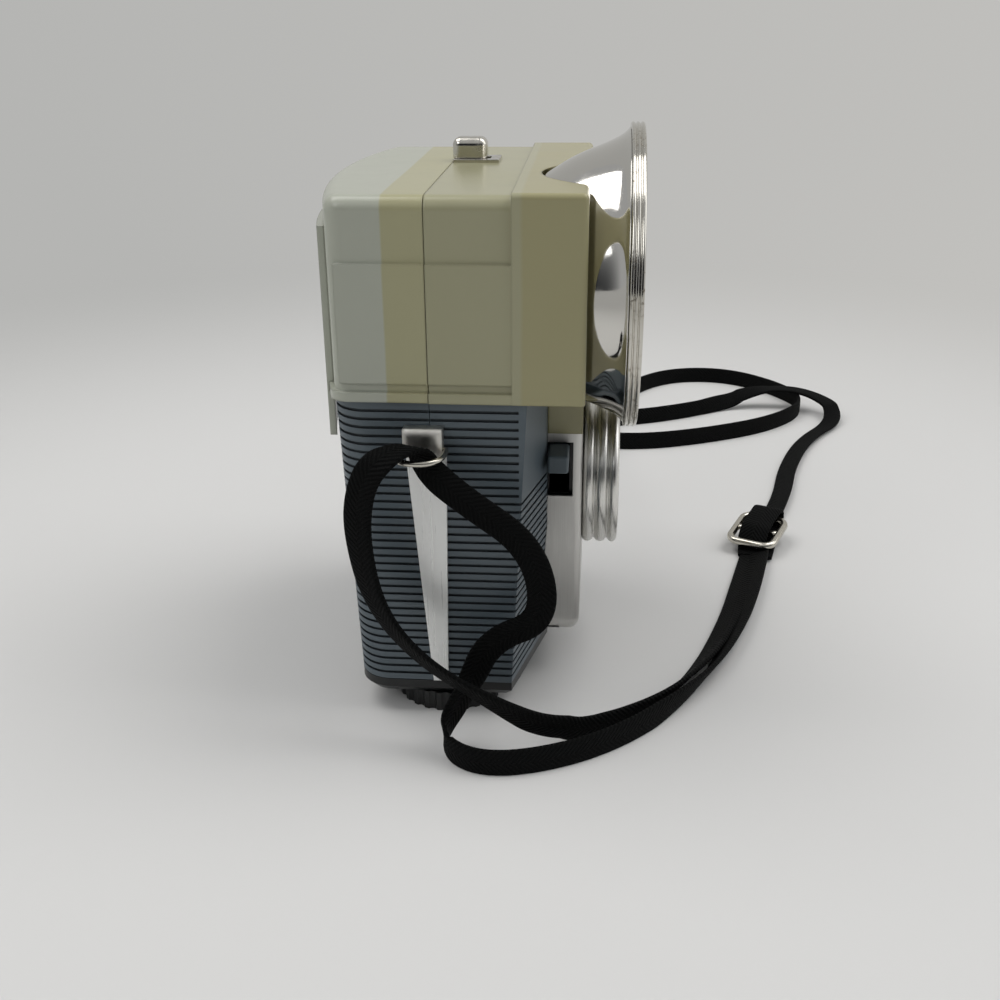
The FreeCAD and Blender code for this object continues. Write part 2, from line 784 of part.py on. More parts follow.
# Film gate: a black funnel behind the shutter, with a floor and a roof for the spools
def frustum(name, front, rear, front_half_width, rear_half_width):
    thing = doc.addObject("Part::Wedge", name)
    for path, size in (
            ("Xmin", -front_half_width), ("Xmax", front_half_width),
            ("Zmin", lens_z - front_half_width), ("Zmax", lens_z + front_half_width),
            ("X2min", -rear_half_width), ("X2max", rear_half_width),
            ("Z2min", lens_z - rear_half_width), ("Z2max", lens_z + rear_half_width),
            ("Ymin", front), ("Ymax", rear)):
        bind(thing, path, size)
    return thing


gate_front = -s.case_back
wing = s.gate_wing
finish("film_gate", cut(
    "gate_shape",
    fuse(
        "gate_solid",
        frustum("gate_funnel", gate_front, s.gate_rear, s.gate_throat, s.gate_frame / 2 + s.gate_wall),
        box("gate_film_rail", (-s.plate_width / 2, s.plate_width / 2), (s.gate_rear - s.gate_wall, s.gate_rear),
            (gate_low, gate_top + s.gate_plate)),
        box("gate_floor_deck", (-s.gate_deck, s.gate_deck), (-s.gate_deck_front, s.gate_deck_rear),
            (gate_low, gate_in)),
        box("gate_floor_nose", (-wing, wing), (gate_front, s.gate_rear), (gate_low, gate_in)),
        box("gate_roof_deck", (-s.gate_deck, s.gate_deck), (-s.gate_deck_front, s.gate_deck_rear),
            (gate_top, gate_top + s.gate_plate)),
        box("gate_roof_nose", (-wing, wing), (s.wall - s.nose_depth, s.gate_rear),
            (gate_top, gate_top + s.gate_plate)),
    ),
    frustum("gate_light", gate_front - s.wall, s.gate_rear + s.wall, s.gate_throat - s.gate_wall * 2,
            s.gate_frame / 2 + s.gate_wall / 4),
    rod("gate_key_hole", "z", (knob_x, s.spool_back, gate_low - s.wall), s.key_radius + s.shaft_clearance,
        s.wall * 4),
))

# Front panel: a thin brushed cover with a rounded bottom edge, seated on the body
panel_low = body_z + s.front_low
panel_high = waist_z - s.chin_height
panel_half = s.front_width / 2
panel_back = -s.foot_front - s.wall * 2


def panel_block(name, inset):
    """The cover's outer block, or its hollow when drawn in by the skin."""
    front = inset - s.front_depth
    low = panel_low + inset
    block = box(f"{name}_block", (inset - panel_half, panel_half - inset), (front, panel_back),
                (low, panel_high - inset))
    sides = rounded(f"{name}_sides", block, s.front_edge - inset,
                    along("z", x=(inset - panel_half, panel_half - inset), y=front))
    return rounded(f"{name}_round", sides, s.front_round - inset,
                   lambda one, other: max(abs(one.z - low.value), abs(other.z - low.value)) < 1e-4
                   and max(one.y, other.y) < (front + s.front_edge).value + 1e-4)


finish("front_panel", cut(
    "panel_shape",
    panel_block("panel_outer", none),
    panel_block("panel_inner", s.front_skin),
    box("panel_open_back", (s.front_skin - panel_half, panel_half - s.front_skin),
        (s.front_skin - s.front_depth + s.front_round, s.wall), (panel_low + s.front_skin, panel_high - s.front_skin)),
    front_solid,
    rod("panel_lens_hole", "y", (none, -s.shell_width, lens_z), s.barrel_mouth - s.wall, s.shell_width),
    box("panel_slot", (-half, -panel_half + s.wall), (-s.slot_front, none),
        slot_z),
))

# Shutter case behind the panel, with a plate, a swinging blade and the release lever
case_front = s.front_skin - s.front_depth
blade_y = case_front + s.case_wall + s.shutter_thick + s.blade_gap
pivot_x = -s.lever_pivot_x
pivot_z = waist_z - s.lever_drop
blade_x = s.blade_pivot_x
blade_z = lens_z - s.blade_pivot_drop
lever_y = -s.lever_front
lever_back = lever_y + s.lever_thick
finish("shutter_case", cut(
    "case_shape",
    fuse(
        "case_solid",
        cut("case_shell",
            rounded("case_round", box("case_block", (-case_half, case_half), (case_front, -s.case_back),
                                      (case_low, case_high)),
                    s.front_round - s.front_skin, along("x", y=case_front, z=case_low)),
            box("case_room", (s.case_wall - case_half, case_half - s.case_wall),
                (case_front + s.case_wall, -s.case_back - s.case_wall),
                (case_low + s.case_wall, case_high - s.case_wall))),
        rod("lever_pivot", "y", (pivot_x, lever_y - s.slot_play, pivot_z), s.pivot_radius,
            -s.case_back - lever_y),
    ),
    rod("case_lens_hole", "y", (none, case_front - s.wall, lens_z), s.lens_radius + s.wall, s.wall * 3),
    rod("case_rear_hole", "y", (none, -s.case_back - s.wall, lens_z), s.gate_throat - s.gate_wall * 3, s.wall * 3),
    box("case_lever_way", (-half, s.case_wall * 2 - case_half), (lever_y - s.wall / 2, lever_back + s.wall / 2),
        slot_z),
))
shutter_y = case_front + s.case_wall
finish("shutter_plate", cut(
    "shutter_plate_shape",
    fuse(
        "shutter_plate_solid",
        rod("shutter_disc", "y", (none, shutter_y, lens_z), s.shutter_radius, s.shutter_thick),
        rod("blade_boss", "y", (blade_x, shutter_y, blade_z), s.lever_hub, s.shutter_thick),
        rod("blade_pivot", "y", (blade_x, shutter_y, blade_z), s.pivot_radius,
            s.shutter_thick + s.blade_gap + s.blade_thick * 2),
    ),
    rod("aperture", "y", (none, shutter_y - s.wall, lens_z), s.aperture_radius, s.wall * 2),
))
arm = body("blade_arm")
arm_pad = arm.newObject("PartDesign::Pad", "blade_arm_pad")
arm_pad.Profile = outline(arm, "blade_arm_outline", "XZ_Plane", [
    (none, lens_z - s.blade_radius), (s.blade_radius, lens_z),
    (blade_x + s.blade_root_short, blade_z + s.blade_root_long),
    (blade_x - s.blade_root_long, blade_z - s.blade_root_short),
], -blade_y)
bind(arm_pad, "Length", s.blade_thick)
arm_pad.Reversed = True
finish("shutter_blade", cut(
    "blade_shape",
    fuse(
        "blade_solid", arm,
        rod("blade_disc", "y", (none, blade_y, lens_z), s.blade_radius, s.blade_thick),
        rod("blade_hub", "y", (blade_x, blade_y, blade_z), s.lever_hub, s.blade_thick),
    ),
    rod("blade_bore", "y", (blade_x, blade_y - s.wall, blade_z), s.pivot_radius + s.shaft_clearance, s.wall * 2),
))
tab_x = -panel_half - s.seam * 2
tab = rounded(
    "lever_tab",
    box("tab_block", (tab_x - s.tab_out, tab_x), (lever_y - s.tab_behind, lever_y + s.tab_ahead),
        (pivot_z, pivot_z + s.tab_height)),
    s.tab_round,
    lambda one, other: max(one.x, other.x) < tab_x.value - 1e-4 or abs(one.x - other.x) > 1)
finish("release_lever", cut(
    "lever_shape",
    fuse(
        "lever_solid", tab,
        box("lever_arm", (tab_x - s.tab_out / 2, pivot_x), (lever_y, lever_back),
            (pivot_z - s.lever_hub / 2, pivot_z + s.lever_hub / 2)),
        rod("lever_hub_rod", "y", (pivot_x, lever_y, pivot_z), s.lever_hub, s.lever_thick),
    ),
    rod("lever_bore", "y", (pivot_x, lever_y - s.wall, pivot_z), s.pivot_radius + s.shaft_clearance, s.wall * 4),
))
coil_low = lever_back + s.seam
finish("lever_spring", cut(
    "lever_spring_shape",
    fuse(
        "lever_spring_solid",
        rod("spring_coil", "y", (pivot_x, coil_low, pivot_z), s.lever_hub, -s.case_back - s.case_wall - coil_low),
        box("spring_leg", (pivot_x, pivot_x + s.lever_hub * 3),
            (-s.case_back - s.case_wall - s.spring_thick * 2, -s.case_back - s.case_wall),
            (pivot_z + s.lever_hub - s.spring_thick * 2, pivot_z + s.lever_hub)),
    ),
    rod("spring_bore", "y", (pivot_x, -s.shell_width, pivot_z), s.lever_hub - s.spring_thick * 2, s.shell_width),
))

# Lens barrel with two turned grooves, the lens and its black retaining ring
barrel_back = -s.front_depth
groove = s.barrel_groove
barrel_one = barrel_back - s.barrel_groove_one
barrel_two = barrel_back - s.barrel_groove_two
seat_y = barrel_back - s.front_round
barrel = turned("lens_barrel_body", [
    (s.lens_radius - groove, barrel_back), (s.barrel_radius, barrel_back),
    (s.barrel_radius, barrel_one + groove / 2), (s.barrel_radius - groove, barrel_one),
    (s.barrel_radius, barrel_one - groove / 2), (s.barrel_radius, barrel_two + groove / 2),
    (s.barrel_radius - groove, barrel_two), (s.barrel_radius, barrel_two - groove / 2),
    (s.barrel_radius, -s.barrel_front), (s.barrel_mouth, -s.barrel_front),
    (s.lens_radius + s.bezel_step, seat_y), (s.lens_radius, seat_y),
    (s.lens_radius, barrel_back - groove), (s.lens_radius - groove, barrel_back - groove),
], lens_z)
finish("lens_barrel", barrel)
glass_back = barrel_back - groove
sphere = doc.addObject("Part::Sphere", "lens_sphere")
bind(sphere, "Radius", s.lens_curve)
place(sphere, none, s.lens_curve - s.front_depth - s.front_round, lens_z)
finish("lens_glass", common(
    "glass_shape", sphere,
    rod("glass_rod", "y", (none, glass_back - s.front_round, lens_z), s.lens_radius, s.front_round)))
finish("lens_bezel", turned("lens_bezel_body", [
    (s.lens_radius - s.bezel_width / 2, seat_y - s.bezel_depth), (s.lens_radius + s.bezel_width, seat_y - s.bezel_depth),
    (s.lens_radius + s.bezel_width, seat_y), (s.lens_radius - s.bezel_width / 2, seat_y),
], lens_z))

# Flash reflector: a curved bright bowl and its beaded rim
finish("reflector", turned("reflector_body", outer_bowl + inner_bowl[::-1], dish_z, -s.dish_offset))
lip = s.rim_lip
finish("reflector_rim", turned("reflector_rim_body", [
    (s.rim_radius - s.rim_foot, -s.dish_end), (s.rim_radius, -s.dish_end),
    (s.rim_radius + lip / 2, -s.dish_end - lip / 2), (s.rim_radius + lip / 2, lip / 2 - s.rim_front),
    (s.rim_radius, -s.rim_front), (s.rim_radius - s.rim_crown, -s.rim_front),
    (s.rim_radius - s.rim_foot, lip / 2 - s.rim_front),
], dish_z, -s.dish_offset))
# Upper housing, front half: main sides, a proud block around the bowl and the chin
top_y = -s.block_front
block_half = half + s.block_out
block_top = roof_z + s.block_lift
front_main = rounded(
    "front_roof", box("front_main", (-half, half), (-s.block_start, none), (waist_z, roof_z)), s.roof_radius,
    along("y", z=roof_z))
front_block = rounded(
    "front_block_round",
    box("front_block", (-block_half, block_half), (top_y, -s.block_start), (waist_z, block_top)),
    s.block_radius,
    lambda one, other: (min(one.z, other.z) > waist_z.value + 1 and min(one.y, other.y) < -s.block_start.value - 1)
    or (abs(one.z - other.z) > 1 and max(one.y, other.y) < top_y.value + 1e-4))
finder_near = s.finder_offset - s.finder_width / 2
finder_far = s.finder_offset + s.finder_width / 2
finder_low = finder_z - s.finder_tall / 2
finder_high = finder_z + s.finder_tall / 2
latch_near = s.latch_offset - s.latch_stem
latch_far = s.latch_offset + s.latch_stem
stem_front = s.latch_rear - s.latch_length / 2 - s.latch_stem
stem_rear = stem_front + s.latch_stem * 2
finish("front_housing", cut(
    "front_housing_shape",
    fuse(
        "front_housing_solid", front_main, front_block,
        box("front_side_panels", (-half - s.panel_lift, half + s.panel_lift), (-s.block_start, none),
            (waist_z + s.panel_low, waist_z + s.panel_high)),
        box("front_lip", (-half - s.lip_lift, half + s.lip_lift), (-s.block_start, none),
            (waist_z, waist_z + s.lip_height)),
        box("chin", (-panel_half, panel_half), (-s.front_depth, -s.nose_depth), (panel_high, waist_z)),
    ),
    box("front_room", (s.wall - half, half - s.wall), (s.wall - s.block_front, s.wall),
        (waist_z + s.wall, roof_z - s.wall)),
    box("chin_room", (s.wall - panel_half, panel_half - s.wall), (s.wall - s.front_depth, -s.nose_depth - s.wall),
        (panel_high + s.wall, waist_z + s.wall * 2)),
    dish_way,
    box("finder_way", (finder_near, finder_far), (top_y - s.wall, top_y + s.wall * 2), (finder_low, finder_high)),
    box("latch_way", (latch_near - s.latch_gap, latch_far + s.latch_gap),
        (stem_front - s.latch_travel - s.latch_gap, stem_rear + s.latch_gap),
        (roof_z - s.wall * 2, roof_z + s.wall)),
))

# Upper housing, back half, with its catch and the wide plate on the back
def back_block(name, lift, start, z):
    """The plan of the upper housing's back, straight sides and a slow curve across, drawn out by a lift."""
    arch = common(
        f"{name}_arch",
        box(f"{name}_block", (-half - lift, half + lift), (start, s.rear_crown + lift + s.wall), z),
        rod(f"{name}_round", "z", (none, s.rear_crown - s.arch_radius, z[0]), s.arch_radius + lift, z[1] - z[0]))
    return rounded(name, arch, s.back_round + lift,
                   lambda one, other: abs(one.z - other.z) > 1 and min(one.y, other.y) > s.back_round.value)


rear_round = rounded(
    "rear_block_roof", back_block("rear_block", none, s.seam, (waist_z + s.seam, roof_z)), s.roof_radius,
    lambda one, other: min(one.z, other.z) > roof_z.value - 1e-4 and max(one.y, other.y) > s.seam.value + 1e-4)
catch_low = roof_z - s.wall - s.catch_drop
finish("rear_housing", cut(
    "rear_housing_shape",
    fuse(
        "rear_housing_solid", rear_round,
        box("rear_side_panels", (-half - s.panel_lift, half + s.panel_lift), (s.seam, s.panel_rear),
            (waist_z + s.panel_low, waist_z + s.panel_high)),
        back_block("rear_lip", s.lip_lift, s.seam, (waist_z + s.seam, waist_z + s.lip_height)),
    ),
    back_block("rear_room", -s.wall, -s.wall, (waist_z - s.wall, roof_z - s.wall)),
    box("eyepiece_way", (s.finder_offset - s.eyepiece_width / 2, s.finder_offset + s.eyepiece_width / 2),
        (s.rear_depth - s.wall * 2, s.rear_crown + s.wall),
        (finder_z - s.eyepiece_tall / 2, finder_z + s.eyepiece_tall / 2)),
))
finish("latch_catch", fuse(
    "catch_shape",
    box("catch_root", (latch_near - s.wall, latch_far + s.wall), (s.wall * 2, s.wall * 4),
        (catch_low, roof_z - s.wall)),
    box("catch_plate", (latch_near - s.wall, latch_far + s.wall),
        (stem_rear + s.latch_gap * 2, s.wall * 4), (catch_low, catch_low + s.wall)),
))
plate_front = s.rear_depth + s.back_plate_thick
back_half = s.finder_offset + s.eyepiece_width / 2 + s.eyepiece_margin
plate_low = waist_z - s.back_plate_drop
plate_high = waist_z + s.back_plate_rise
plate_arch = common(
    "plate_arch", box("plate_block", (-back_half, back_half), (none, s.rear_crown + s.wall * 2), (plate_low, plate_high)),
    rod("plate_round", "z", (none, s.rear_crown - s.arch_radius, plate_low), s.arch_radius + s.back_plate_thick,
        plate_high - plate_low))
finish("back_plate", cut(
    "back_plate_shape", plate_arch, rear_solid,
    back_block("plate_room", none, none, (body_z, roof_z)),
    back_block("plate_lip_way", s.lip_lift, none, (waist_z - s.seam, waist_z + s.lip_height)),
    box("plate_eyepiece_way", (s.finder_offset - s.eyepiece_width / 2, s.finder_offset + s.eyepiece_width / 2),
        (none, s.rear_crown + s.wall * 2), (finder_z - s.eyepiece_tall / 2, finder_z + s.eyepiece_tall / 2)),
))

# Latch button on its plate
button_y = (s.latch_rear - s.latch_length, s.latch_rear)
deck_z = roof_z + s.latch_plate
finish("latch_plate", cut(
    "latch_plate_shape",
    box("latch_deck", (s.latch_offset - s.latch_deck_half, s.latch_offset + s.latch_deck_half),
        (s.latch_rear - s.latch_length - s.latch_travel - s.latch_gap, -s.seam), (roof_z, deck_z)),
    box("latch_deck_way", (latch_near - s.latch_gap, latch_far + s.latch_gap),
        (stem_front - s.latch_travel - s.latch_gap, stem_rear + s.latch_gap), (roof_z - s.wall, roof_z + s.wall)),
))
button_low = deck_z + s.latch_gap / 2
button_high = deck_z + s.latch_height
finish("latch_button", fuse(
    "latch_shape",
    rounded(
        "latch_pillow",
        box("latch_block", (s.latch_offset - s.latch_width / 2, s.latch_offset + s.latch_width / 2), button_y,
            (button_low, button_high)),
        s.latch_round,
        lambda one, other: max(one.z, other.z) > button_high.value - 1e-4),
    box("latch_stem_block", (latch_near, latch_far), (stem_front, stem_rear),
        (roof_z - s.wall - s.latch_reach, button_low + s.latch_plate)),
))
finish("latch_spring", box(
    "latch_spring_leaf", (s.latch_offset - s.spring_width / 2, s.latch_offset + s.spring_width / 2),
    (stem_front - s.latch_travel - s.wall, stem_front - s.latch_travel - s.wall + s.spring_thick),
    (roof_z - s.wall - s.latch_reach, roof_z - s.wall)))

# Cells in their tray, the bulb socket and the contacts
tray_x = s.cell_middle
tray_half = s.cell_length / 2 + s.cell_nub / 2 + s.contact_thick
deck_top = waist_z + s.wall
tray_high = waist_z + s.cell_low + s.cell_spacing + s.cell_radius
finish("cell_tray", fuse(
    "tray_shape",
    box("tray_wall", (tray_x - tray_half - s.bulkhead_thick, tray_x + tray_half + s.bulkhead_thick),
        (-s.bulkhead_thick, none), (deck_top, tray_high)),
    box("tray_near_end", (tray_x - tray_half - s.bulkhead_thick, tray_x - tray_half),
        (none, s.cell_radius * 2), (waist_z + s.cell_low - s.cell_radius, tray_high)),
    box("tray_far_end", (tray_x + tray_half, tray_x + tray_half + s.bulkhead_thick),
        (none, s.cell_radius * 2), (waist_z + s.cell_low - s.cell_radius, tray_high)),
))
for number in range(2):
    level = waist_z + s.cell_low + s.cell_spacing * number
    start = tray_x - (s.cell_length + s.cell_nub) / 2
    label = ("cell_lower", "cell_upper")[number]
    finish(label, fuse(
        f"{label}_shape",
        rod(f"{label}_case", "x", (start, s.cell_radius, level), s.cell_radius, s.cell_length),
        rod(f"{label}_nub", "x", (start + s.cell_length, s.cell_radius, level), s.cell_nub_radius, s.cell_nub),
    ))
contact_low = waist_z + s.cell_low - s.strip_width / 2
contact_high = waist_z + s.cell_low + s.cell_spacing + s.strip_width / 2
finish("cell_contacts", group(
    "contacts_shape",
    box("near_contact", (tray_x - tray_half, tray_x - tray_half + s.contact_thick),
        (s.cell_radius - s.strip_width / 2, s.cell_radius + s.strip_width / 2), (contact_low, contact_high)),
    box("far_contact_low", (tray_x + tray_half - s.contact_thick, tray_x + tray_half),
        (s.cell_radius - s.strip_width / 2, s.cell_radius + s.strip_width / 2),
        (contact_low, contact_low + s.strip_width)),
    box("far_contact_high", (tray_x + tray_half - s.contact_thick, tray_x + tray_half),
        (s.cell_radius - s.strip_width / 2, s.cell_radius + s.strip_width / 2),
        (contact_high - s.strip_width, contact_high)),
))
socket_front = bowl_y(bowl_start)
contact_front = -s.wall * 2 - s.contact_thick
finish("bulb_socket", cut(
    "socket_shape",
    fuse(
        "socket_solid",
        rod("socket_body", "y", (-s.dish_offset, socket_front, dish_z), s.socket_radius,
            -s.bulkhead_thick - socket_front),
        rod("socket_nose_rod", "y", (-s.dish_offset, -s.socket_nose, dish_z), bowl_start - s.seam,
            s.socket_nose + socket_front),
    ),
    rod("socket_hole", "y", (-s.dish_offset, -s.socket_nose - s.wall, dish_z), s.socket_bore,
        s.socket_nose + s.wall + contact_front),
    rod("contact_pocket", "y", (-s.dish_offset, contact_front - s.seam, dish_z), s.contact_radius,
        s.contact_thick + s.seam),
))
finish("bulb_contact", rod(
    "bulb_contact_disc", "y", (-s.dish_offset, contact_front, dish_z), s.contact_radius, s.contact_thick))

# Viewfinder: front lens, light tunnel and eyepiece
finish("finder_lens", box(
    "finder_lens_block", (finder_near, finder_far), (top_y, top_y + s.finder_glass), (finder_low, finder_high)))
finish("finder_tunnel", cut(
    "tunnel_shape",
    box("tunnel_block", (finder_near, finder_far), (top_y + s.finder_glass, -s.wall), (finder_low, finder_high)),
    box("tunnel_room", (finder_near + s.finder_wall, finder_far - s.finder_wall), (-s.shell_width, none),
        (finder_low + s.finder_wall, finder_high - s.finder_wall)),
))
finish("finder_eyepiece", box(
    "eyepiece_block", (s.finder_offset - s.eyepiece_width / 2, s.finder_offset + s.eyepiece_width / 2),
    (s.rear_depth - s.wall, plate_front), (finder_z - s.eyepiece_tall / 2, finder_z + s.eyepiece_tall / 2)))

# Side trim strips, strap lugs and the D-rings
rear_clear = rear_half("trim_rear_clear", -s.trim_gap, none, body_z)
lug_low = waist_z - s.lug_drop
lug_x = -half - s.lug_out


trim_top = s.body_height - s.trim_drop


def trim():
    strip = padded("trim_blank", "YZ_Plane", [
        (s.trim_back, trim_top), (s.trim_tip_back, s.seam * 4), (-s.trim_tip_front, s.seam * 4),
        (-s.trim_front, trim_top),
    ], none, s.trim_thick, True)
    lean = group("trim_lean", strip)
    lean.Placement = Placement(Vector(), Rotation(Vector(0, 1, 0), -1))
    lean.setExpression("Placement.Rotation.Angle", side_turn.text)
    place(lean, -foot_half, none, body_z)
    return cut("trim_shape", lean, rear_clear)


def lug():
    return cut(
        "lug_shape",
        fuse(
            "lug_solid",
            box("lug_head", (lug_x, -half - s.trim_gap), (-s.lug_front, s.lug_back), (lug_low, lug_low + s.lug_height)),
            box("lug_root", (-half - s.trim_gap, s.wall - half), (-s.lug_front, -s.trim_gap),
                (lug_low, lug_low + s.lug_height)),
        ),
        front_solid,
        rod("lug_bore", "y", (ring_bar_x, -s.shell_width, ring_z), s.ring_wire + s.shaft_clearance, s.shell_width * 2),
    )


def ring():
    """A D-ring of round wire: its bar in the lug, two arms and the outer bar."""
    front = ring_middle - s.ring_length / 2
    rear = ring_middle + s.ring_length / 2
    out = ring_bar_x - s.ring_reach
    pieces = [
        rod("ring_bar", "y", (ring_bar_x, front, ring_z), s.ring_wire, s.ring_length),
        rod("ring_outer", "y", (out, front, ring_z), s.ring_wire, s.ring_length),
        rod("ring_front_arm", "x", (out, front, ring_z), s.ring_wire, s.ring_reach),
        rod("ring_rear_arm", "x", (out, rear, ring_z), s.ring_wire, s.ring_reach),
    ]
    for number, (x, y) in enumerate(((ring_bar_x, front), (ring_bar_x, rear), (out, front), (out, rear))):
        ball = doc.addObject("Part::Sphere", f"ring_corner_{number}")
        bind(ball, "Radius", s.ring_wire)
        place(ball, x, y, ring_z)
        pieces.append(ball)
    return fuse("ring_shape", *pieces)


ring_bar_x = lug_x + s.ring_wire * 2
ring_z = lug_low + s.ring_up
ring_middle = (s.lug_back - s.lug_front) / 2 + s.ring_wire
for maker, name in ((trim, "trim_strip"), (lug, "strap_lug"), (ring, "ring")):
    near = maker()
    far = mirrored(f"{name}_far", near)
    if name == "ring":
        finish("ring_near", near)
        finish("ring_far", far, False)
    else:
        finish(name, group(f"{name}_pair", near, far))

# Flat neck strap, drawn here as a round core: straight runs with a tangent arc at
# every corner. It leaves the far ring, lies in a loop on the table, passes the buckle,
# climbs to the near ring, turns over its bar and comes back to the buckle.
ROUTE = [
    (57.5, 2.0, 73.5), (78, -8, 66), (104, -20, 46), (134, -30, 26), (172, -38, 12),
    (207, -47, 3.5), (236, -68, 3.5), (239, -96, 3.5), (219, -118, 3.5), (196, -127, 3.5),
    (172, -110, 3.5), (155, -80, 3.5), (146, -52, 3.5), (151, -28, 3.5), (172, -30, 3.5),
    (176, -54, 3.5), (188, -79, 3.5), (201, -97, 4.4), (204.6, -115.5, 8.2), (203, -132.5, 8.2), (186, -143.5, 4.6),
    (160, -122, 3.5), (128, -110, 3.5), (98, -104, 3.5), (68, -92.6, 3.5), (38, -87.5, 3.5),
    (5, -79.5, 3.5), (-24, -69, 3.5), (-48, -52.5, 3.5), (-63, -34, 3.5), (-69.5, -13, 3.5),
    (-60.5, -3.0, 4.2), (-52.5, -10.5, 14.5), (-52.5, -15.5, 27), (-54, -27.5, 33.5), (-54.5, -24, 52),
    (-55, -8.5, 63.5), (-51.2, 0, 69), (-51.0, 2.0, 77.2), (-59.5, 6.0, 77.2), (-59.0, 11.5, 69),
    (-58, 14.5, 57), (-57.5, 13, 38), (-59, 5, 24.5), (-61, -12, 15.5), (-57, -27, 4.5),
    (-45.4, -49.7, 3.5), (-22.3, -65.6, 3.5), (6, -75.9, 3.5), (38.7, -83.8, 3.5), (60.85, -84.56, 6.09),
]
CORNER = 0.45
RADII = []


def strap_edges():
    """Lines and arcs along the route."""
    points = [Vector(*point) for point in ROUTE]
    edges = []
    start = points[0]
    for before, corner, after in zip(points, points[1:], points[2:]):
        back = before - corner
        ahead = after - corner
        reach = CORNER * min(back.Length, ahead.Length)
        half_turn = (math.pi - back.getAngle(ahead)) / 2
        RADII.append(reach / math.tan(half_turn))
        enter = corner + back.normalize() * reach
        leave = corner + ahead.normalize() * reach
        middle_way = (back + ahead).normalize()
        centre = corner + middle_way * (reach / math.sin(half_turn))
        middle = centre - middle_way * RADII[-1]
        edges.append(Part.LineSegment(start, enter).toShape())
        edges.append(Part.Arc(enter, middle, leave).toShape())
        start = leave
    edges.append(Part.LineSegment(start, points[-1]).toShape())
    return edges


route = doc.addObject("Part::Feature", "strap_route")
route.Shape = Part.Wire(strap_edges())
strap_round = doc.addObject("Part::Circle", "strap_round")
bind(strap_round, "Radius", s.strap_tube / 2)
strap_round.Placement = Placement(
    Vector(*ROUTE[0]), Rotation(Vector(0, 0, 1), Vector(*ROUTE[1]) - Vector(*ROUTE[0])))
strap = doc.addObject("Part::Sweep", "strap_sweep")
strap.Sections = [strap_round]
strap.Spine = (route, [f"Edge{number}" for number in range(1, len(route.Shape.Edges) + 1)])
strap.Solid = True
strap.Frenet = False
finish("neck_strap", strap)

# Wire buckle: a rounded frame with a middle bar, tilted where it rides on the strap
wire = s.buckle_wire
across = s.buckle_width / 2
lengthways = s.buckle_length / 2
buckle_rods = [rod("buckle_middle_bar", "y", (none, -lengthways, none), s.buckle_bar, s.buckle_length)]
for number, side in enumerate((-1, 1)):
    buckle_rods.append(rod(
        f"buckle_long_{number}", "y", (across * side, s.buckle_corner - lengthways, none), wire,
        s.buckle_length - s.buckle_corner * 2))
    buckle_rods.append(rod(
        f"buckle_end_{number}", "x", (s.buckle_corner - across, lengthways * side, none), wire,
        s.buckle_width - s.buckle_corner * 2))
for number, (x, y) in enumerate(((1, 1), (-1, 1), (-1, -1), (1, -1))):
    bend = doc.addObject("Part::Torus", f"buckle_bend_{number}")
    bind(bend, "Radius1", s.buckle_corner)
    bind(bend, "Radius2", wire)
    bend.Angle3 = 90
    bend.Placement = Placement(Vector(), Rotation(Vector(0, 0, 1), 90 * number))
    place(bend, (across - s.buckle_corner) * x, (lengthways - s.buckle_corner) * y, none)
    buckle_rods.append(bend)
buckle_flat = fuse("buckle_flat", *buckle_rods)
BUCKLE_MIDDLE = (65.94, -90, 9.0)
BUCKLE_YAW = -12
BUCKLE_TILT = -30
buckle_flat.Placement = Placement(
    Vector(*BUCKLE_MIDDLE),
    Rotation(Vector(0, 0, 1), BUCKLE_YAW).multiply(Rotation(Vector(0, 1, 0), BUCKLE_TILT)))
finish("strap_buckle", group("buckle_shape", buckle_flat))

doc.recompute()
problems = []
for thing in doc.Objects:
    if "Invalid" in thing.State or "Error" in thing.State:
        problems.append(f"{thing.Label}: {thing.State}")
for thing in finished:
    if thing.Shape.isNull() or not thing.Shape.isValid():
        problems.append(f"{thing.Label}: shape is not valid")
if problems:
    raise RuntimeError("; ".join(problems))
print("strap corner radii", [round(radius, 1) for radius in RADII])
length = route.Shape.Length
section = math.pi * (s.strap_tube.value / 2) ** 2
print("strap length", round(length, 1), "volume over section times length",
      round(strap.Shape.Volume / (section * length), 4))
for thing in finished:
    thing.Shape.exportStep(f"parts/{thing.Label}.step")
print(len(finished), "pieces written")
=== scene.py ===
import bpy
import bmesh
import math
import numpy as np
from mathutils import Matrix, Vector


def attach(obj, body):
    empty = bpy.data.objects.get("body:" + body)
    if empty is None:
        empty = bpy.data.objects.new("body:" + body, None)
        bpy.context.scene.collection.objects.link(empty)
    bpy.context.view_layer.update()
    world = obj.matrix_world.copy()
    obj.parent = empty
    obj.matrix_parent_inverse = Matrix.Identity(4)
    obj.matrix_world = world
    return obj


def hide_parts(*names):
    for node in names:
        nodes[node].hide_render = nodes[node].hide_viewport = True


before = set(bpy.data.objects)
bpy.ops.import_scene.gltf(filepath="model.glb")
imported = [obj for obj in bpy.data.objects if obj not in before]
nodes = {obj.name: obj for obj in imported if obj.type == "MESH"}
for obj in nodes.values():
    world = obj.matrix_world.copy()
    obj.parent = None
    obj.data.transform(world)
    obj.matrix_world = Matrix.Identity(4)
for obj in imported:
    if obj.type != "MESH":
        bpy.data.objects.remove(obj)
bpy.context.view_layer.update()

# Viewpoint: the model is seen from its near side and a little above, as in the photograph,
# to which the place, turn and focal length here were fitted.
EYE = Vector((-0.2917, -0.02765, 0.1656))
YAW, PITCH, ROLL = math.radians(4.84), math.radians(23.2), math.radians(-0.51)
FOCAL_PIXELS = 1176.8
PICTURE_WIDTH = 1000
SENSOR = 36.0
NEAREST = 0.01
ahead = Vector((math.cos(PITCH) * math.cos(YAW), math.cos(PITCH) * math.sin(YAW), -math.sin(PITCH)))
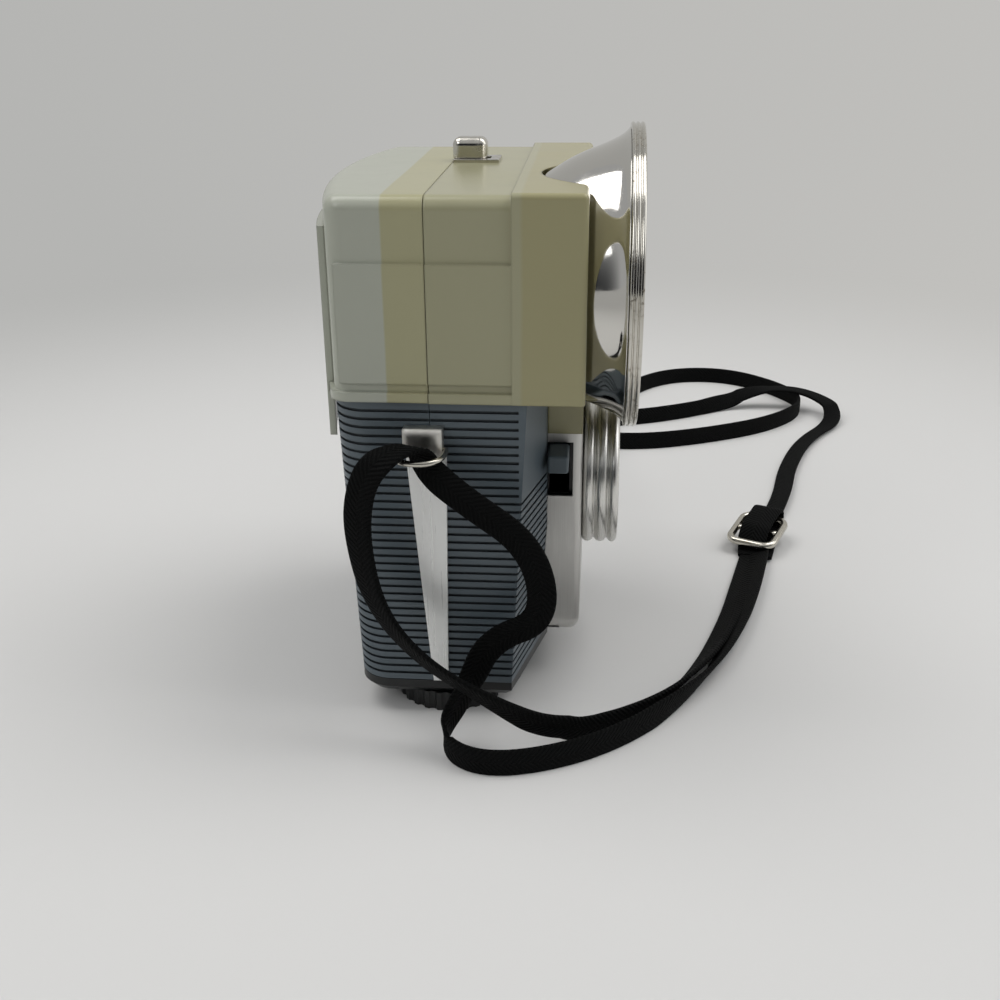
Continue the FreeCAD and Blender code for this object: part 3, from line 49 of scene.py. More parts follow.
level_right = ahead.cross(Vector((0, 0, 1))).normalized()
level_up = level_right.cross(ahead)
right = math.cos(ROLL) * level_right + math.sin(ROLL) * level_up
above = math.cos(ROLL) * level_up - math.sin(ROLL) * level_right
view = bpy.data.cameras.new("view")
view.sensor_width = SENSOR
view.sensor_fit = "HORIZONTAL"
view.lens = FOCAL_PIXELS / PICTURE_WIDTH * SENSOR
view.clip_start = NEAREST
view_object = bpy.data.objects.new("view", view)
turned = Matrix((right, above, -ahead)).transposed()
view_object.matrix_world = Matrix.Translation(EYE) @ turned.to_4x4()
bpy.context.collection.objects.link(view_object)
bpy.context.scene.camera = view_object

# Floor and backdrop: one matte paper sweep that lies under the model and rises behind it
# in a wide curve. Far off it melts into a pale haze, a painted glow that stands in for its
# light and shade, paler on the lens side, so that no edge of it shows.
SWEEP_NEAR, SWEEP_BACK, SWEEP_HIGH, SWEEP_ROUND, SWEEP_HALF = -4.0, 1.9, 2.6, 0.5, 5.0
HAZE_STARTS, HAZE_FULL = 0.15, 0.52
PAINTED_GLOW_LENS_SIDE, PAINTED_GLOW_BACK_SIDE = "#c1c0bd", "#b5b5b3"
HAZE_TURN = 0.5


def linear(code):
    """An sRGB hex colour as linear red, green and blue."""
    tones = [int(code[place:place + 2], 16) / 255 for place in (1, 3, 5)]
    return tuple(t / 12.92 if t <= 0.04045 else ((t + 0.055) / 1.055) ** 2.4 for t in tones) + (1.0,)


def add(tree, kind, settings=None, **links):
    """Adds a node, sets its properties, and fills its inputs, each given by its name or number,
    with values, hex colours or other nodes' outputs."""
    made = tree.nodes.new("ShaderNode" + kind)
    for name, value in (settings or {}).items():
        setattr(made, name, value)
    for name, value in links.items():
        socket = made.inputs[int(name[1:])] if name[1:].isdigit() else made.inputs[name.replace("_", " ")]
        if isinstance(value, bpy.types.NodeSocket):
            tree.links.new(value, socket)
        else:
            socket.default_value = linear(value) if isinstance(value, str) else value
    return made


def finish_of(name, colour, roughness, metallic=0.0, **sockets):
    """A material with one Principled shader. Its tree and that shader are given back, so
    that a pattern may vary the plain colour and roughness set here."""
    made = bpy.data.materials.new(name)
    made.use_nodes = True
    tree = made.node_tree
    shader = tree.nodes["Principled BSDF"]
    shader.inputs["Base Color"].default_value = linear(colour)
    shader.inputs["Roughness"].default_value = roughness
    shader.inputs["Metallic"].default_value = metallic
    for socket, value in sockets.items():
        shader.inputs[socket.replace("_", " ")].default_value = value
    return made, tree, shader


def haze_towards(tree, where):
    """The haze's painted glow colour for a place or a direction, and its level distance from the
    origin. The colour goes from the lens side's paler tone to the back side's darker painted
    shade with y divided by that distance."""
    level = add(tree, "CombineXYZ", _0=where.outputs["X"], _1=where.outputs["Y"])
    reach = add(tree, "VectorMath", {"operation": "LENGTH"}, _0=level.outputs[0]).outputs[1]
    bearing = add(tree, "Math", {"operation": "DIVIDE"}, _0=where.outputs["Y"], _1=reach)
    side = add(tree, "MapRange", _0=bearing.outputs[0], _1=-HAZE_TURN, _2=HAZE_TURN)
    tone = add(tree, "Mix", {"data_type": "RGBA"}, _0=side.outputs[0], _6=PAINTED_GLOW_LENS_SIDE, _7=PAINTED_GLOW_BACK_SIDE)
    return tone.outputs[2], reach


def dress(material, *pieces):
    """Gives one material to CAD nodes, by name, or to new pieces."""
    for piece in pieces:
        thing = nodes[piece] if isinstance(piece, str) else piece
        thing.data.materials.clear()
        thing.data.materials.append(material)


def grid_mesh(name, points, close_u=False, close_v=False, uv=None):
    """A smooth mesh from a grid of points, points[u, v]. Either way round may be closed on itself,
    and where v is, uv has one column more than points."""
    rows, columns = points.shape[:2]
    u = np.arange(rows if close_u else rows - 1)
    v = np.arange(columns if close_v else columns - 1)
    u, v = np.meshgrid(u, v, indexing="ij")
    next_u, next_v = (u + 1) % rows, (v + 1) % columns
    corners = [u * columns + v, next_u * columns + v, next_u * columns + next_v, u * columns + next_v]
    faces = np.stack(corners, axis=-1).reshape(-1, 4)
    mesh = bpy.data.meshes.new(name)
    mesh.from_pydata(points.reshape(-1, 3).tolist(), [], faces.tolist())
    if uv is not None:
        layer = mesh.uv_layers.new(name="along_and_across")
        uv_corners = [uv[u, v], uv[next_u, v], uv[next_u, v + 1], uv[u, v + 1]]
        layer.data.foreach_set("uv", np.stack(uv_corners, axis=2).ravel().astype(np.float32))
    mesh.shade_smooth()
    made = bpy.data.objects.new(name, mesh)
    bpy.context.collection.objects.link(made)
    return made


def sweep_surface(steps=17):
    """The paper: level from its near edge, then a quarter circle, then upright, straight
    across between its two side edges."""
    turn = np.linspace(0, np.pi / 2, steps)
    along = np.r_[SWEEP_NEAR, SWEEP_BACK - SWEEP_ROUND + SWEEP_ROUND * np.sin(turn), SWEEP_BACK]
    height = np.r_[0.0, SWEEP_ROUND - SWEEP_ROUND * np.cos(turn), SWEEP_HIGH]
    across = np.array([-SWEEP_HALF, SWEEP_HALF])
    return np.stack(np.broadcast_arrays(along[:, None], across[None, :], height[:, None]), axis=-1)


floor = grid_mesh("floor", sweep_surface())

# Matte paper: it has no gloss, and takes the soft shadow of the model.
paper, tree, shader = finish_of("matte background paper", "#d2d2d1", roughness=0.85)
where = add(tree, "SeparateXYZ", _0=add(tree, "TexCoord").outputs["Object"])
haze_colour, reach = haze_towards(tree, where)
far = add(tree, "MapRange", {"interpolation_type": "SMOOTHSTEP"}, _0=reach, _1=HAZE_STARTS, _2=HAZE_FULL)
ray = add(tree, "LightPath").outputs
seen = add(tree, "Math", {"operation": "MAXIMUM"}, _0=ray["Is Camera Ray"], _1=ray["Is Glossy Ray"])
seen = add(tree, "Math", {"operation": "MAXIMUM"}, _0=seen.outputs[0], _1=ray["Is Transmission Ray"])
share = add(tree, "Math", {"operation": "MULTIPLY"}, _0=far.outputs[0], _1=seen.outputs[0])
# Painted glow: where the camera or a reflection sees the far paper, it shines with the haze colour instead of
# taking the lamps' light and shade.
haze = add(tree, "Emission", Color=haze_colour, Strength=1.0)
both = add(tree, "MixShader", _0=share.outputs[0], _1=shader.outputs[0], _2=haze.outputs[0])
tree.links.new(both.outputs[0], tree.nodes["Material Output"].inputs["Surface"])
dress(paper, floor)

# Room: pale walls all round, and low down behind the viewer a dark side, which gives the
# metal its dark reflections. Two broad lamps hang overhead and two weaker ones fill in.
ROOM_STRENGTH = 0.54
ROOM_PALE, ROOM_DARK = "#eaebec", "#24272c"
DARK_BEHIND, DARK_BELOW = (-0.35, -0.8), (0.62, 0.3)
LAMP_WARM, LAMP_WHITE = "#fffdfb", "#ffffff"
MID_BODY, LOW_BODY = (0, 0, 0.08), (0, 0, 0.05)
world = bpy.data.worlds.new("room")
world.use_nodes = True
tree = world.node_tree
around = add(tree, "SeparateXYZ", _0=add(tree, "TexCoord").outputs["Generated"])
smooth = {"interpolation_type": "SMOOTHSTEP"}
behind = add(tree, "MapRange", smooth, _0=around.outputs["X"], _1=DARK_BEHIND[0], _2=DARK_BEHIND[1])
low = add(tree, "MapRange", smooth, _0=around.outputs["Z"], _1=DARK_BELOW[0], _2=DARK_BELOW[1])
dark = add(tree, "Math", {"operation": "MULTIPLY"}, _0=behind.outputs[0], _1=low.outputs[0])
walls = add(tree, "Mix", {"data_type": "RGBA"}, _0=dark.outputs[0], _6=ROOM_PALE, _7=ROOM_DARK)
room = tree.nodes["Background"]
room.inputs["Strength"].default_value = ROOM_STRENGTH
tree.links.new(walls.outputs[2], room.inputs["Color"])
haze_colour, _ = haze_towards(tree, around)
pale = add(tree, "Background", Color=haze_colour, Strength=1.0)
seen = add(tree, "LightPath").outputs["Is Camera Ray"]
both = add(tree, "MixShader", _0=seen, _1=room.outputs[0], _2=pale.outputs[0])
tree.links.new(both.outputs[0], tree.nodes["World Output"].inputs["Surface"])
bpy.context.scene.world = world
bpy.context.scene.view_settings.view_transform = "Standard"


def lamp(name, place, target, power, size, colour):
    """A square soft lamp aimed at a point."""
    light = bpy.data.lights.new(name, "AREA")
    light.energy = power
    light.size = size
    light.color = linear(colour)[:3]
    holder = bpy.data.objects.new(name, light)
    holder.location = place
    aim = Vector(target) - Vector(place)
    holder.rotation_euler = aim.to_track_quat("-Z", "Y").to_euler()
    bpy.context.collection.objects.link(holder)


lamp("overhead_back", (0.12, 0.5, 1.15), LOW_BODY, power=5.0, size=0.7, colour=LAMP_WARM)
lamp("overhead_lens", (0.12, -0.55, 1.15), LOW_BODY, power=5.5, size=0.7, colour=LAMP_WARM)
lamp("lens_side", (0.15, -1.3, 0.75), MID_BODY, power=3.4, size=0.9, colour=LAMP_WHITE)
lamp("near_side", (-0.9, 0.75, 0.95), MID_BODY, power=3.0, size=0.6, colour=LAMP_WHITE)

# Neck strap: a flat tubular braid of black rayon, 6.8 mm wide. It leaves the far ring,
# loops on the table, passes the buckle, climbs to the near ring, folds over it and comes
# back to the buckle, where it is sewn to itself.
MM = 0.001
# Places are in millimetres as in the part's source, and SHIFT takes their y to the frame.
SHIFT = 8.85
ROUTE = [
    (57.5, 2.0, 73.5), (78, -8, 66), (104, -20, 46), (134, -30, 26), (172, -38, 12),
    (207, -47, 3.5), (236, -68, 3.5), (239, -96, 3.5), (219, -118, 3.5), (196, -127, 3.5),
    (172, -110, 3.5), (155, -80, 3.5), (146, -52, 3.5), (151, -28, 3.5), (172, -30, 3.5),
    (176, -54, 3.5), (188, -79, 3.5), (201, -95, 4.4), (204, -110, 8.2), (202, -127, 8.2),
    (186, -140, 4.6), (160, -121, 3.5), (128, -109.5, 3.5), (98, -103.5, 3.5), (68, -92.6, 3.5),
    (38, -87.5, 3.5), (5, -79.5, 3.5), (-24, -69, 3.5), (-48, -52.5, 3.5), (-63, -34, 3.5),
    (-69.5, -13, 3.5), (-60.5, -1.5, 4.2), (-52.5, -8.5, 14.5), (-52.5, -13.5, 27), (-54, -27, 33.5),
    (-54.5, -24.0, 52), (-55, -8.5, 63.5), (-51.4, -0.5, 68.6), (-51.2, 2.5, 74.9), (-58.2, 8.5, 74.7),
    (-59.5, 13.2, 69.5), (-58.5, 15.5, 57), (-58, 12.5, 38), (-59, 2, 24.5), (-61, -14, 15.5),
    (-57, -29, 5), (-45.4, -50.2, 3.5), (-22.3, -65.8, 3.5), (6, -76.4, 3.5), (36, -83.8, 3.5),
    (56, -88.6, 3.8),
]
# Which way the strap's width points at some of the route's points: upright where it
# stands on its edge, level where it lies flat or goes over a wire.
WIDTH_WAY = {
    0: (0, 1, 0), 3: (0, 0.8, 0.6), 5: (0, 0.3, 1), 6: (0, 0, 1), 16: (0, 0, 1), 17: (0.8, 0.1, 0.6),
    18: (1, 0, 0), 19: (0.85, -0.5, 0), 20: (0.2, -0.97, 0.1), 21: (-0.45, -0.85, 0.2),
    22: (-0.3, -0.9, 0.25), 23: (-0.25, -0.9, 0.3), 24: (-0.2, -0.97, 0.1), 25: (-0.18, -0.85, 0.5),
    26: (-0.22, -0.75, 0.62), 27: (-0.25, -0.5, 0.85), 28: (0, 0, 1), 31: (0, 0, 1), 32: (-0.3, 0.3, 0.7),
    33: (0, 0.9, 0.4), 34: (0, 0.9, 0.43), 35: (0, 0.83, -0.55), 36: (0, 0.6, -0.8), 37: (0, 0.85, -0.5),
    38: (0.5, 1, -0.1), 39: (0.6, 0.9, 0.1), 40: (0.3, 0.83, 0.55), 41: (0.3, 1, 0.2), 42: (0.55, 0.9, -0.25),
    43: (0.8, 0.7, -0.5), 44: (0.8, 0.48, -0.7), 45: (0.3, 0.2, -1), 46: (0, 0, -1), 47: (0.25, 0.5, -0.85),
    48: (0.3, 0.8, -0.5), 49: (0.3, 0.95, -0.25), 50: (0.35, 0.95, 0),
}
STRAP_WIDTH, STRAP_THICK = 6.8, 1.4
# Below TABLE_REACH the strap is brought down onto the table, within TABLE_FADE.
TABLE_REACH, TABLE_FADE = 5.6, 1.6
BRAID_PITCH, BRAID_RIDGE, BRAID_DEPTH, BRAID_FLUFF = 1.3, 0.35, 0.4, 0.3846
BRAID_HOLLOW_SHADE, BRAID_CREST_HIGHLIGHT = "#020303", "#090a0a"
line = bpy.data.curves.new("strap_line", "CURVE")
line.dimensions = "3D"
spline = line.splines.new("NURBS")
spline.points.add(len(ROUTE) - 1)
for place, (x, y, z) in zip(spline.points, ROUTE):
    place.co = (x * MM, (y + SHIFT) * MM, z * MM, 1)
spline.order_u = 3
spline.use_endpoint_u = True
spline.resolution_u = 16
line_object = bpy.data.objects.new("strap_line", line)
bpy.context.collection.objects.link(line_object)
line_mesh = bpy.data.meshes.new_from_object(line_object)
path = np.empty(len(line_mesh.vertices) * 3)
line_mesh.vertices.foreach_get("co", path)
path = path.reshape(-1, 3)
bpy.data.objects.remove(line_object)


def unit(vectors):
    """Each vector divided by its own length."""
    return vectors / np.linalg.norm(vectors, axis=-1, keepdims=True)


def ribbon(path, width_way, width, thick, corner=4.0):
    """A flat band along a path: at each point an oval with squared ends, half width times
    cosine and half thickness times sine, each raised to the power two over the corner value.
    Its second result is the distance along the band and across it, for a pattern."""
    tangent = unit(np.gradient(path, axis=0))
    flat_way = unit(width_way - (width_way * tangent).sum(-1, keepdims=True) * tangent)
    face_way = np.cross(tangent, flat_way)
    angle = np.linspace(0, 2 * np.pi, 21)
    cosine, sine = np.cos(angle), np.sin(angle)
    wide = np.broadcast_to(width, len(path))[:, None]
    across = np.sign(cosine) * np.abs(cosine) ** (2 / corner) * wide / 2
    through = np.sign(sine) * np.abs(sine) ** (2 / corner) * thick / 2
    points = (path[:, None] + across[..., None] * flat_way[:, None]
              + through[None, :, None] * face_way[:, None])
    along = np.r_[0, np.cumsum(np.linalg.norm(np.diff(path, axis=0), axis=1))]
    return points, np.stack(np.broadcast_arrays(along[:, None], across), axis=-1)


def closed_tube(name, points, uv=None):
    """A tube from rings of points whose first and last point meet, with a cap on each end."""
    made = grid_mesh(name, points[:, :-1], close_v=True, uv=uv)
    shape = bmesh.new()
    shape.from_mesh(made.data)
    shape.verts.ensure_lookup_table()
    count = points.shape[1] - 1
    shape.faces.new(shape.verts[:count])
    shape.faces.new(shape.verts[-count:][::-1])
    bmesh.ops.recalc_face_normals(shape, faces=shape.faces)
    shape.to_mesh(made.data)
    shape.free()
    return made


def tint(tree, shader, factor, first, second):
    """The shader's colour: two colours mixed by a factor, each a hex code or a node's output."""
    tone = add(tree, "Mix", {"data_type": "RGBA"}, _0=factor, _6=first, _7=second)
    tree.links.new(tone.outputs[2], shader.inputs["Base Color"])


stations = np.linspace(0, len(ROUTE) - 1, len(path))
marks = sorted(WIDTH_WAY)
way = unit(np.stack([
    np.interp(stations, marks, [WIDTH_WAY[mark][axis] for mark in marks]) for axis in range(3)
], axis=-1))
upright = np.abs(way[:, 2])
resting = (upright * STRAP_WIDTH + np.sqrt(1 - upright ** 2) * STRAP_THICK) / 2 * MM
near_table = np.clip((TABLE_REACH * MM - path[:, 2]) / (TABLE_FADE * MM), 0, 1)
path[:, 2] += (resting - path[:, 2]) * near_table
strap_points, strap_uv = ribbon(path, way, STRAP_WIDTH * MM, STRAP_THICK * MM)
strap = closed_tube("strap", strap_points, strap_uv)

# Braided rayon: dull black, with slanting ridges that meet along the middle. They follow
# the strap by the distance along it plus the distance from its middle line.
webbing, tree, shader = finish_of("black braided rayon", "#050606", roughness=0.75, Specular_IOR_Level=0.1)
where = add(tree, "UVMap", {"uv_map": "along_and_across"})
split = add(tree, "SeparateXYZ", _0=where.outputs[0])
aside = add(tree, "Math", {"operation": "ABSOLUTE"}, _0=split.outputs[1])
slope = add(tree, "Math", {"operation": "ADD"}, _0=split.outputs[0], _1=aside.outputs[0])
turn = 2 * math.pi / (BRAID_PITCH * MM)
phase = add(tree, "Math", {"operation": "MULTIPLY"}, _0=slope.outputs[0], _1=turn)
ridge = add(tree, "Math", {"operation": "SINE"}, _0=phase.outputs[0]).outputs[0]
place = add(tree, "TexCoord").outputs["Object"]
fluff = add(tree, "TexNoise", _0=place, Scale=1 / (BRAID_FLUFF * MM), Detail=3.0).outputs[0]
height = add(tree, "Math", {"operation": "MULTIPLY_ADD"}, _0=ridge, _1=BRAID_RIDGE, _2=fluff)
bump = add(tree, "Bump", Strength=0.9, Distance=BRAID_DEPTH * MM, Height=height.outputs[0])
tree.links.new(bump.outputs[0], shader.inputs["Normal"])
# Painted highlight and shade: the tone follows the ridges, paler on their crests and darker in the hollows
# between them.
tone = add(tree, "MapRange", _0=ridge, _1=-1.0, _2=1.0)
tint(tree, shader, tone.outputs[0], BRAID_HOLLOW_SHADE, BRAID_CREST_HIGHLIGHT)
dress(webbing, strap)
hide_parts("neck_strap")
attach(strap, "camera")

# Buckle of the strap: one length of nickel-plated steel wire bent to a frame with round
# corners, and a middle bar. It lies tilted on the webbing.
BUCKLE_MIDDLE = np.array([61.0, -90.4 + SHIFT, 5.4])
BUCKLE_YAW, BUCKLE_TILT = math.radians(-25.5), math.radians(-9)
BUCKLE_LENGTH, BUCKLE_WIDTH, BUCKLE_CORNER = 14.0, 16.5, 3.2
BUCKLE_WIRE_RADIUS, BAR_WIDTH, BAR_THICK = 1.2, 2.16, 1.92
PLATING_DARK, PLATING_LIGHT = "#bcb7ab", "#cfccc3"
PLATING_SMEAR = 3.846


def rounded_loop(length, width, corner):
    """The middle line of a rectangle with round corners: four quarter circles, joined by straight runs."""
    quarter = np.linspace(0, np.pi / 2, 9)
    corners = []
    for number, (x, y) in enumerate(((1, 1), (-1, 1), (-1, -1), (1, -1))):
        angle = quarter + number * np.pi / 2
        centre = np.array([x * (width / 2 - corner), y * (length / 2 - corner)])
        corners.append(centre + corner * np.stack([np.cos(angle), np.sin(angle)], axis=-1))
    flat = np.vstack(corners)
    return np.column_stack([flat, np.zeros(len(flat))])


def wire_loop(name, line, radius):
    """A round wire along a closed flat line: circles about each point, square to the line."""
    tangent = unit(np.roll(line, -1, axis=0) - np.roll(line, 1, axis=0))
    upright = np.broadcast_to(np.array([0.0, 0.0, 1.0]), line.shape)
    outward = np.cross(tangent, upright)
    angle = np.linspace(0, 2 * np.pi, 14, endpoint=False)
    points = (line[:, None] + radius * np.cos(angle)[None, :, None] * outward[:, None]
              + radius * np.sin(angle)[None, :, None] * upright[:, None])
    return grid_mesh(name, points, close_u=True, close_v=True)


def moved(thing, matrix):
    """Applies a placement to a piece's own mesh, so that its object stays at the origin."""
    thing.data.transform(matrix)
    return thing


def vary_gloss(tree, shader, pattern, over, roughness):
    """Roughness that goes from the first of its two values to the second, while the value of a
    pattern goes over a range."""
    spread = add(tree, "MapRange", _0=pattern, _1=over[0], _2=over[1], _3=roughness[0], _4=roughness[1])
    tree.links.new(spread.outputs[0], shader.inputs["Roughness"])


buckle_turn = Matrix.Rotation(BUCKLE_YAW, 4, "Z") @ Matrix.Rotation(BUCKLE_TILT, 4, "Y")
buckle_place = Matrix.Translation(Vector(BUCKLE_MIDDLE * MM)) @ buckle_turn @ Matrix.Scale(MM, 4)
buckle_line = rounded_loop(BUCKLE_LENGTH, BUCKLE_WIDTH, BUCKLE_CORNER)
buckle = moved(wire_loop("buckle_frame", buckle_line, BUCKLE_WIRE_RADIUS), buckle_place)
bar_y = np.linspace(-BUCKLE_LENGTH / 2, BUCKLE_LENGTH / 2, 9)
bar_line = np.stack([np.zeros(9), bar_y, np.zeros(9)], axis=-1)
bar_points, _ = ribbon(bar_line, np.tile([1.0, 0, 0], (9, 1)), BAR_WIDTH, BAR_THICK, corner=2.0)
bar = moved(closed_tube("buckle_bar", bar_points), buckle_place)

# Worn nickel plating: a warm, bright metal, with smears that dull it in patches.
nickel, tree, shader = finish_of("worn nickel plating on steel wire", "#c6c2b8", roughness=0.2, metallic=1.0)
place = add(tree, "TexCoord").outputs["Object"]
smear = add(tree, "TexNoise", _0=place, Scale=1 / (PLATING_SMEAR * MM), Detail=3.0).outputs[0]
vary_gloss(tree, shader, smear, over=(0.3, 0.75), roughness=(0.16, 0.28))
tint(tree, shader, smear, PLATING_DARK, PLATING_LIGHT)
dress(nickel, buckle, bar)
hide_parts("strap_buckle")
for piece in (buckle, bar):
    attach(piece, "camera")

# End of the strap: it comes up under the near wire, lies over the middle bar and the
# far wire, turns under and is sewn down, with a short raw end left free.
TAIL_LINE = [
    (-11.5, -1.2, -2.6), (-8.4, -0.6, -2.5), (-5.4, -0.2, 0.4), (-2.4, -0.1, 2.4), (1.5, -0.1, 2.9),
    (6, -0.2, 3.1), (9.4, -0.3, 2.9), (11.0, -0.5, 0.8), (9.2, -0.7, -1.8), (4, -1.2, -2.3),
    (-3, -2.4, -2.4), (-8, -3.9, -2.4), (-11.5, -5.2, -2.5),
]
TAIL_NARROW, TAIL_WIDE = 6.8, 9.3


def smooth_line(points, steps=10):
    """A curve through points: Catmull-Rom pieces, each a cubic that takes its slopes from its neighbours."""
    points = np.array(points, float)
    padded = np.vstack([2 * points[0] - points[1], points, 2 * points[-1] - points[-2]])
    share = np.linspace(0, 1, steps, endpoint=False)[:, None]
    runs = []
    for before, start, end, after in zip(padded, padded[1:], padded[2:], padded[3:]):
        runs.append(0.5 * (2 * start + (end - before) * share
                           + (2 * before - 5 * start + 4 * end - after) * share ** 2
                           + (3 * start - before - 3 * end + after) * share ** 3))
    return np.vstack(runs + [points[-1:]])


tail_line = smooth_line(TAIL_LINE)
bulge = np.minimum(1, 2 * np.sin(np.linspace(0, np.pi, len(tail_line))))
tail_width = TAIL_NARROW + (TAIL_WIDE - TAIL_NARROW) * bulge
tail_way = np.tile([0.0, 1.0, 0.0], (len(tail_line), 1))
tail_points, tail_uv = ribbon(tail_line, tail_way, tail_width, STRAP_THICK)
tail = moved(closed_tube("strap_tail", tail_points, tail_uv * MM), buckle_place)
dress(webbing, tail)
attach(tail, "camera")

# Far end of the strap: turned round the far ring and sewn back on itself, so the ring
# has room to swing in the loop. With it the strap and all that is on it is complete.
LOOP_LINE = [
    (66, -3.3, 69.0), (62, -1.0, 69.4), (58.2, 0.8, 68.6), (54.8, 1.8, 67.9), (51.9, 2.1, 69.2),
    (51.2, 2.1, 71.9), (52.3, 2.1, 74.6), (55.6, 1.8, 75.3), (58.8, 0.8, 73.9), (63, -1.2, 71.4),
    (68, -4, 69.4),
]
LOOP_THICK = 1.12
loop_line = smooth_line(LOOP_LINE) + np.array([0, SHIFT, 0])
loop_way = np.tile([0.2, 1.0, 0.0], (len(loop_line), 1))
loop_points, loop_uv = ribbon(loop_line, loop_way, STRAP_WIDTH, LOOP_THICK)
loop = moved(closed_tube("strap_loop", loop_points, loop_uv * MM), Matrix.Scale(MM, 4))
dress(webbing, loop)
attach(loop, "camera")

# Upper housing and back plate: putty-coloured styrene mouldings. The front block is fixed
# on the front body, the rear half and its plate on the swing back. Age has yellowed the
# block most, then a band behind the seam; the rest of the rear half is greyer.
SEAM_PLACE, BAND_END, BLOCK_BACK = SHIFT + 0.05, SHIFT + 9.1, SHIFT - 20.2
BAND_BLUR, BLOCK_BLUR, TONE_DRIFT = (0.2, 0.7), (0.4, -0.4), 0.7
PUTTY_PALE, PUTTY_WARM, PUTTY_BLOCK = "#9d9b7d", "#a19f83", "#9d9873"
PUTTY_BAND, PUTTY_REAR = "#a5a280", "#aaada0"
PUTTY_GRAIN, PUTTY_SMUDGE, PUTTY_CLOUD = 1.111, 16.67, 33.33


def grain(tree, shader, size, strength, depth, edge_radius):
    """A moulded surface: noise with specks of one size as bump, over a shading normal that is
    averaged within a small radius, so that edges look rounded."""
    place = add(tree, "TexCoord").outputs["Object"]
    specks = add(tree, "TexNoise", _0=place, Scale=1 / (size * MM), Detail=4.0)
    edges = add(tree, "Bevel", {"samples": 6}, Radius=edge_radius * MM)
    bump = add(tree, "Bump", Strength=strength, Distance=depth * MM, Height=specks.outputs[0],
               Normal=edges.outputs[0])
    tree.links.new(bump.outputs[0], shader.inputs["Normal"])


# Moulded styrene: an even satin gloss with soft edges, and clouds where it has aged. Its
# grain is drawn coarser than the real one, so that it shows.
putty, tree, shader = finish_of("putty styrene", "#a3a189", roughness=0.24)
grain(tree, shader, PUTTY_GRAIN, strength=0.05, depth=0.06, edge_radius=0.7)
place = add(tree, "TexCoord").outputs["Object"]
place_y = add(tree, "SeparateXYZ", _0=place).outputs["Y"]
cloud = add(tree, "TexNoise", _0=place, Scale=1 / (PUTTY_CLOUD * MM), Detail=2.0).outputs[0]
drift = add(tree, "Math", {"operation": "MULTIPLY_ADD"}, _0=cloud, _1=TONE_DRIFT * MM, _2=place_y).outputs[0]
band_ends = [(BAND_END + blur) * MM for blur in BAND_BLUR]
block_ends = [(BLOCK_BACK + blur) * MM for blur in BLOCK_BLUR]
band = add(tree, "MapRange", _0=drift, _1=band_ends[0], _2=band_ends[1])
block = add(tree, "MapRange", _0=drift, _1=block_ends[0], _2=block_ends[1])
blend = {"data_type": "RGBA"}
clouded = add(tree, "Mix", blend, _0=cloud, _6=PUTTY_PALE, _7=PUTTY_WARM)
front_tone = add(tree, "Mix", blend, _0=block.outputs[0], _6=clouded.outputs[2], _7=PUTTY_BLOCK)
rear_tone = add(tree, "Mix", blend, _0=band.outputs[0], _6=PUTTY_BAND, _7=PUTTY_REAR)
behind = add(tree, "Math", {"operation": "GREATER_THAN"}, _0=place_y, _1=SEAM_PLACE * MM)
tint(tree, shader, behind.outputs[0], front_tone.outputs[2], rear_tone.outputs[2])
smudge = add(tree, "TexNoise", _0=place, Scale=1 / (PUTTY_SMUDGE * MM), Detail=3.0).outputs[0]
vary_gloss(tree, shader, smudge, over=(0.35, 0.7), roughness=(0.22, 0.27))
dress(putty, "front_housing", "rear_housing", "back_plate")

# Ribbed lower body and the release lever: slate-grey styrene mouldings. The body is in
# two halves, of which the rear one is the swing back; the lever stands in a slot.
SLATE_GROOVE_SHADE, SLATE_DARK, SLATE_PALE = "#0c0f11", "#4e5960", "#58636a"
SLATE_GRAIN, SLATE_RUB, GROOVE_REACH = 0.9091, 11.11, 1.2

# Moulded styrene: half matt, rubbed a little paler in places, with painted shade that darkens
# the grooves where they are closed in. Its grain, too, is drawn coarser than the real one.
slate, tree, shader = finish_of("slate grey styrene", "#565e63", roughness=0.42)
grain(tree, shader, SLATE_GRAIN, strength=0.15, depth=0.08, edge_radius=0.12)
place = add(tree, "TexCoord").outputs["Object"]
rub = add(tree, "TexNoise", _0=place, Scale=1 / (SLATE_RUB * MM), Detail=5.0)
faces = add(tree, "Mix", {"data_type": "RGBA"}, _0=rub.outputs[0], _6=SLATE_DARK, _7=SLATE_PALE)
# Painted shade: points hemmed in within a short reach, as in the grooves, are darkened.
hollow = add(tree, "AmbientOcclusion", {"samples": 8, "only_local": True}, Distance=GROOVE_REACH * MM)
unshaded = add(tree, "MapRange", _0=hollow.outputs["AO"], _1=0.3, _2=0.75)
tint(tree, shader, unshaded.outputs[0], SLATE_GROOVE_SHADE, faces.outputs[2])
dress(slate, "front_body", "rear_body", "release_lever")

# Base plate, winding knob and the mouldings inside, such as the film gate and the cell
# tray: black styrene, pressed or clipped into the body.
BLACK_CLEAN, BLACK_DUSTY = "#0b0d0e", "#1b1e1f"
BLACK_GRAIN, BLACK_DUST = 0.7692, 4.762

# Moulded styrene: satin black, with a little grey dust on it.
black, tree, shader = finish_of("black styrene", "#121415", roughness=0.34)
grain(tree, shader, BLACK_GRAIN, strength=0.12, depth=0.08, edge_radius=0.2)
place = add(tree, "TexCoord").outputs["Object"]
dust = add(tree, "TexNoise", _0=place, Scale=1 / (BLACK_DUST * MM), Detail=6.0, Roughness=0.75)
dusty = add(tree, "MapRange", _0=dust.outputs[0], _1=0.5, _2=0.85)
tint(tree, shader, dusty.outputs[0], BLACK_CLEAN, BLACK_DUSTY)
dress(black, "base_plate", "shutter_case", "lens_bezel", "cell_tray", "finder_tunnel", "film_gate",
      "winding_knob", "takeup_spool", "window_slide")

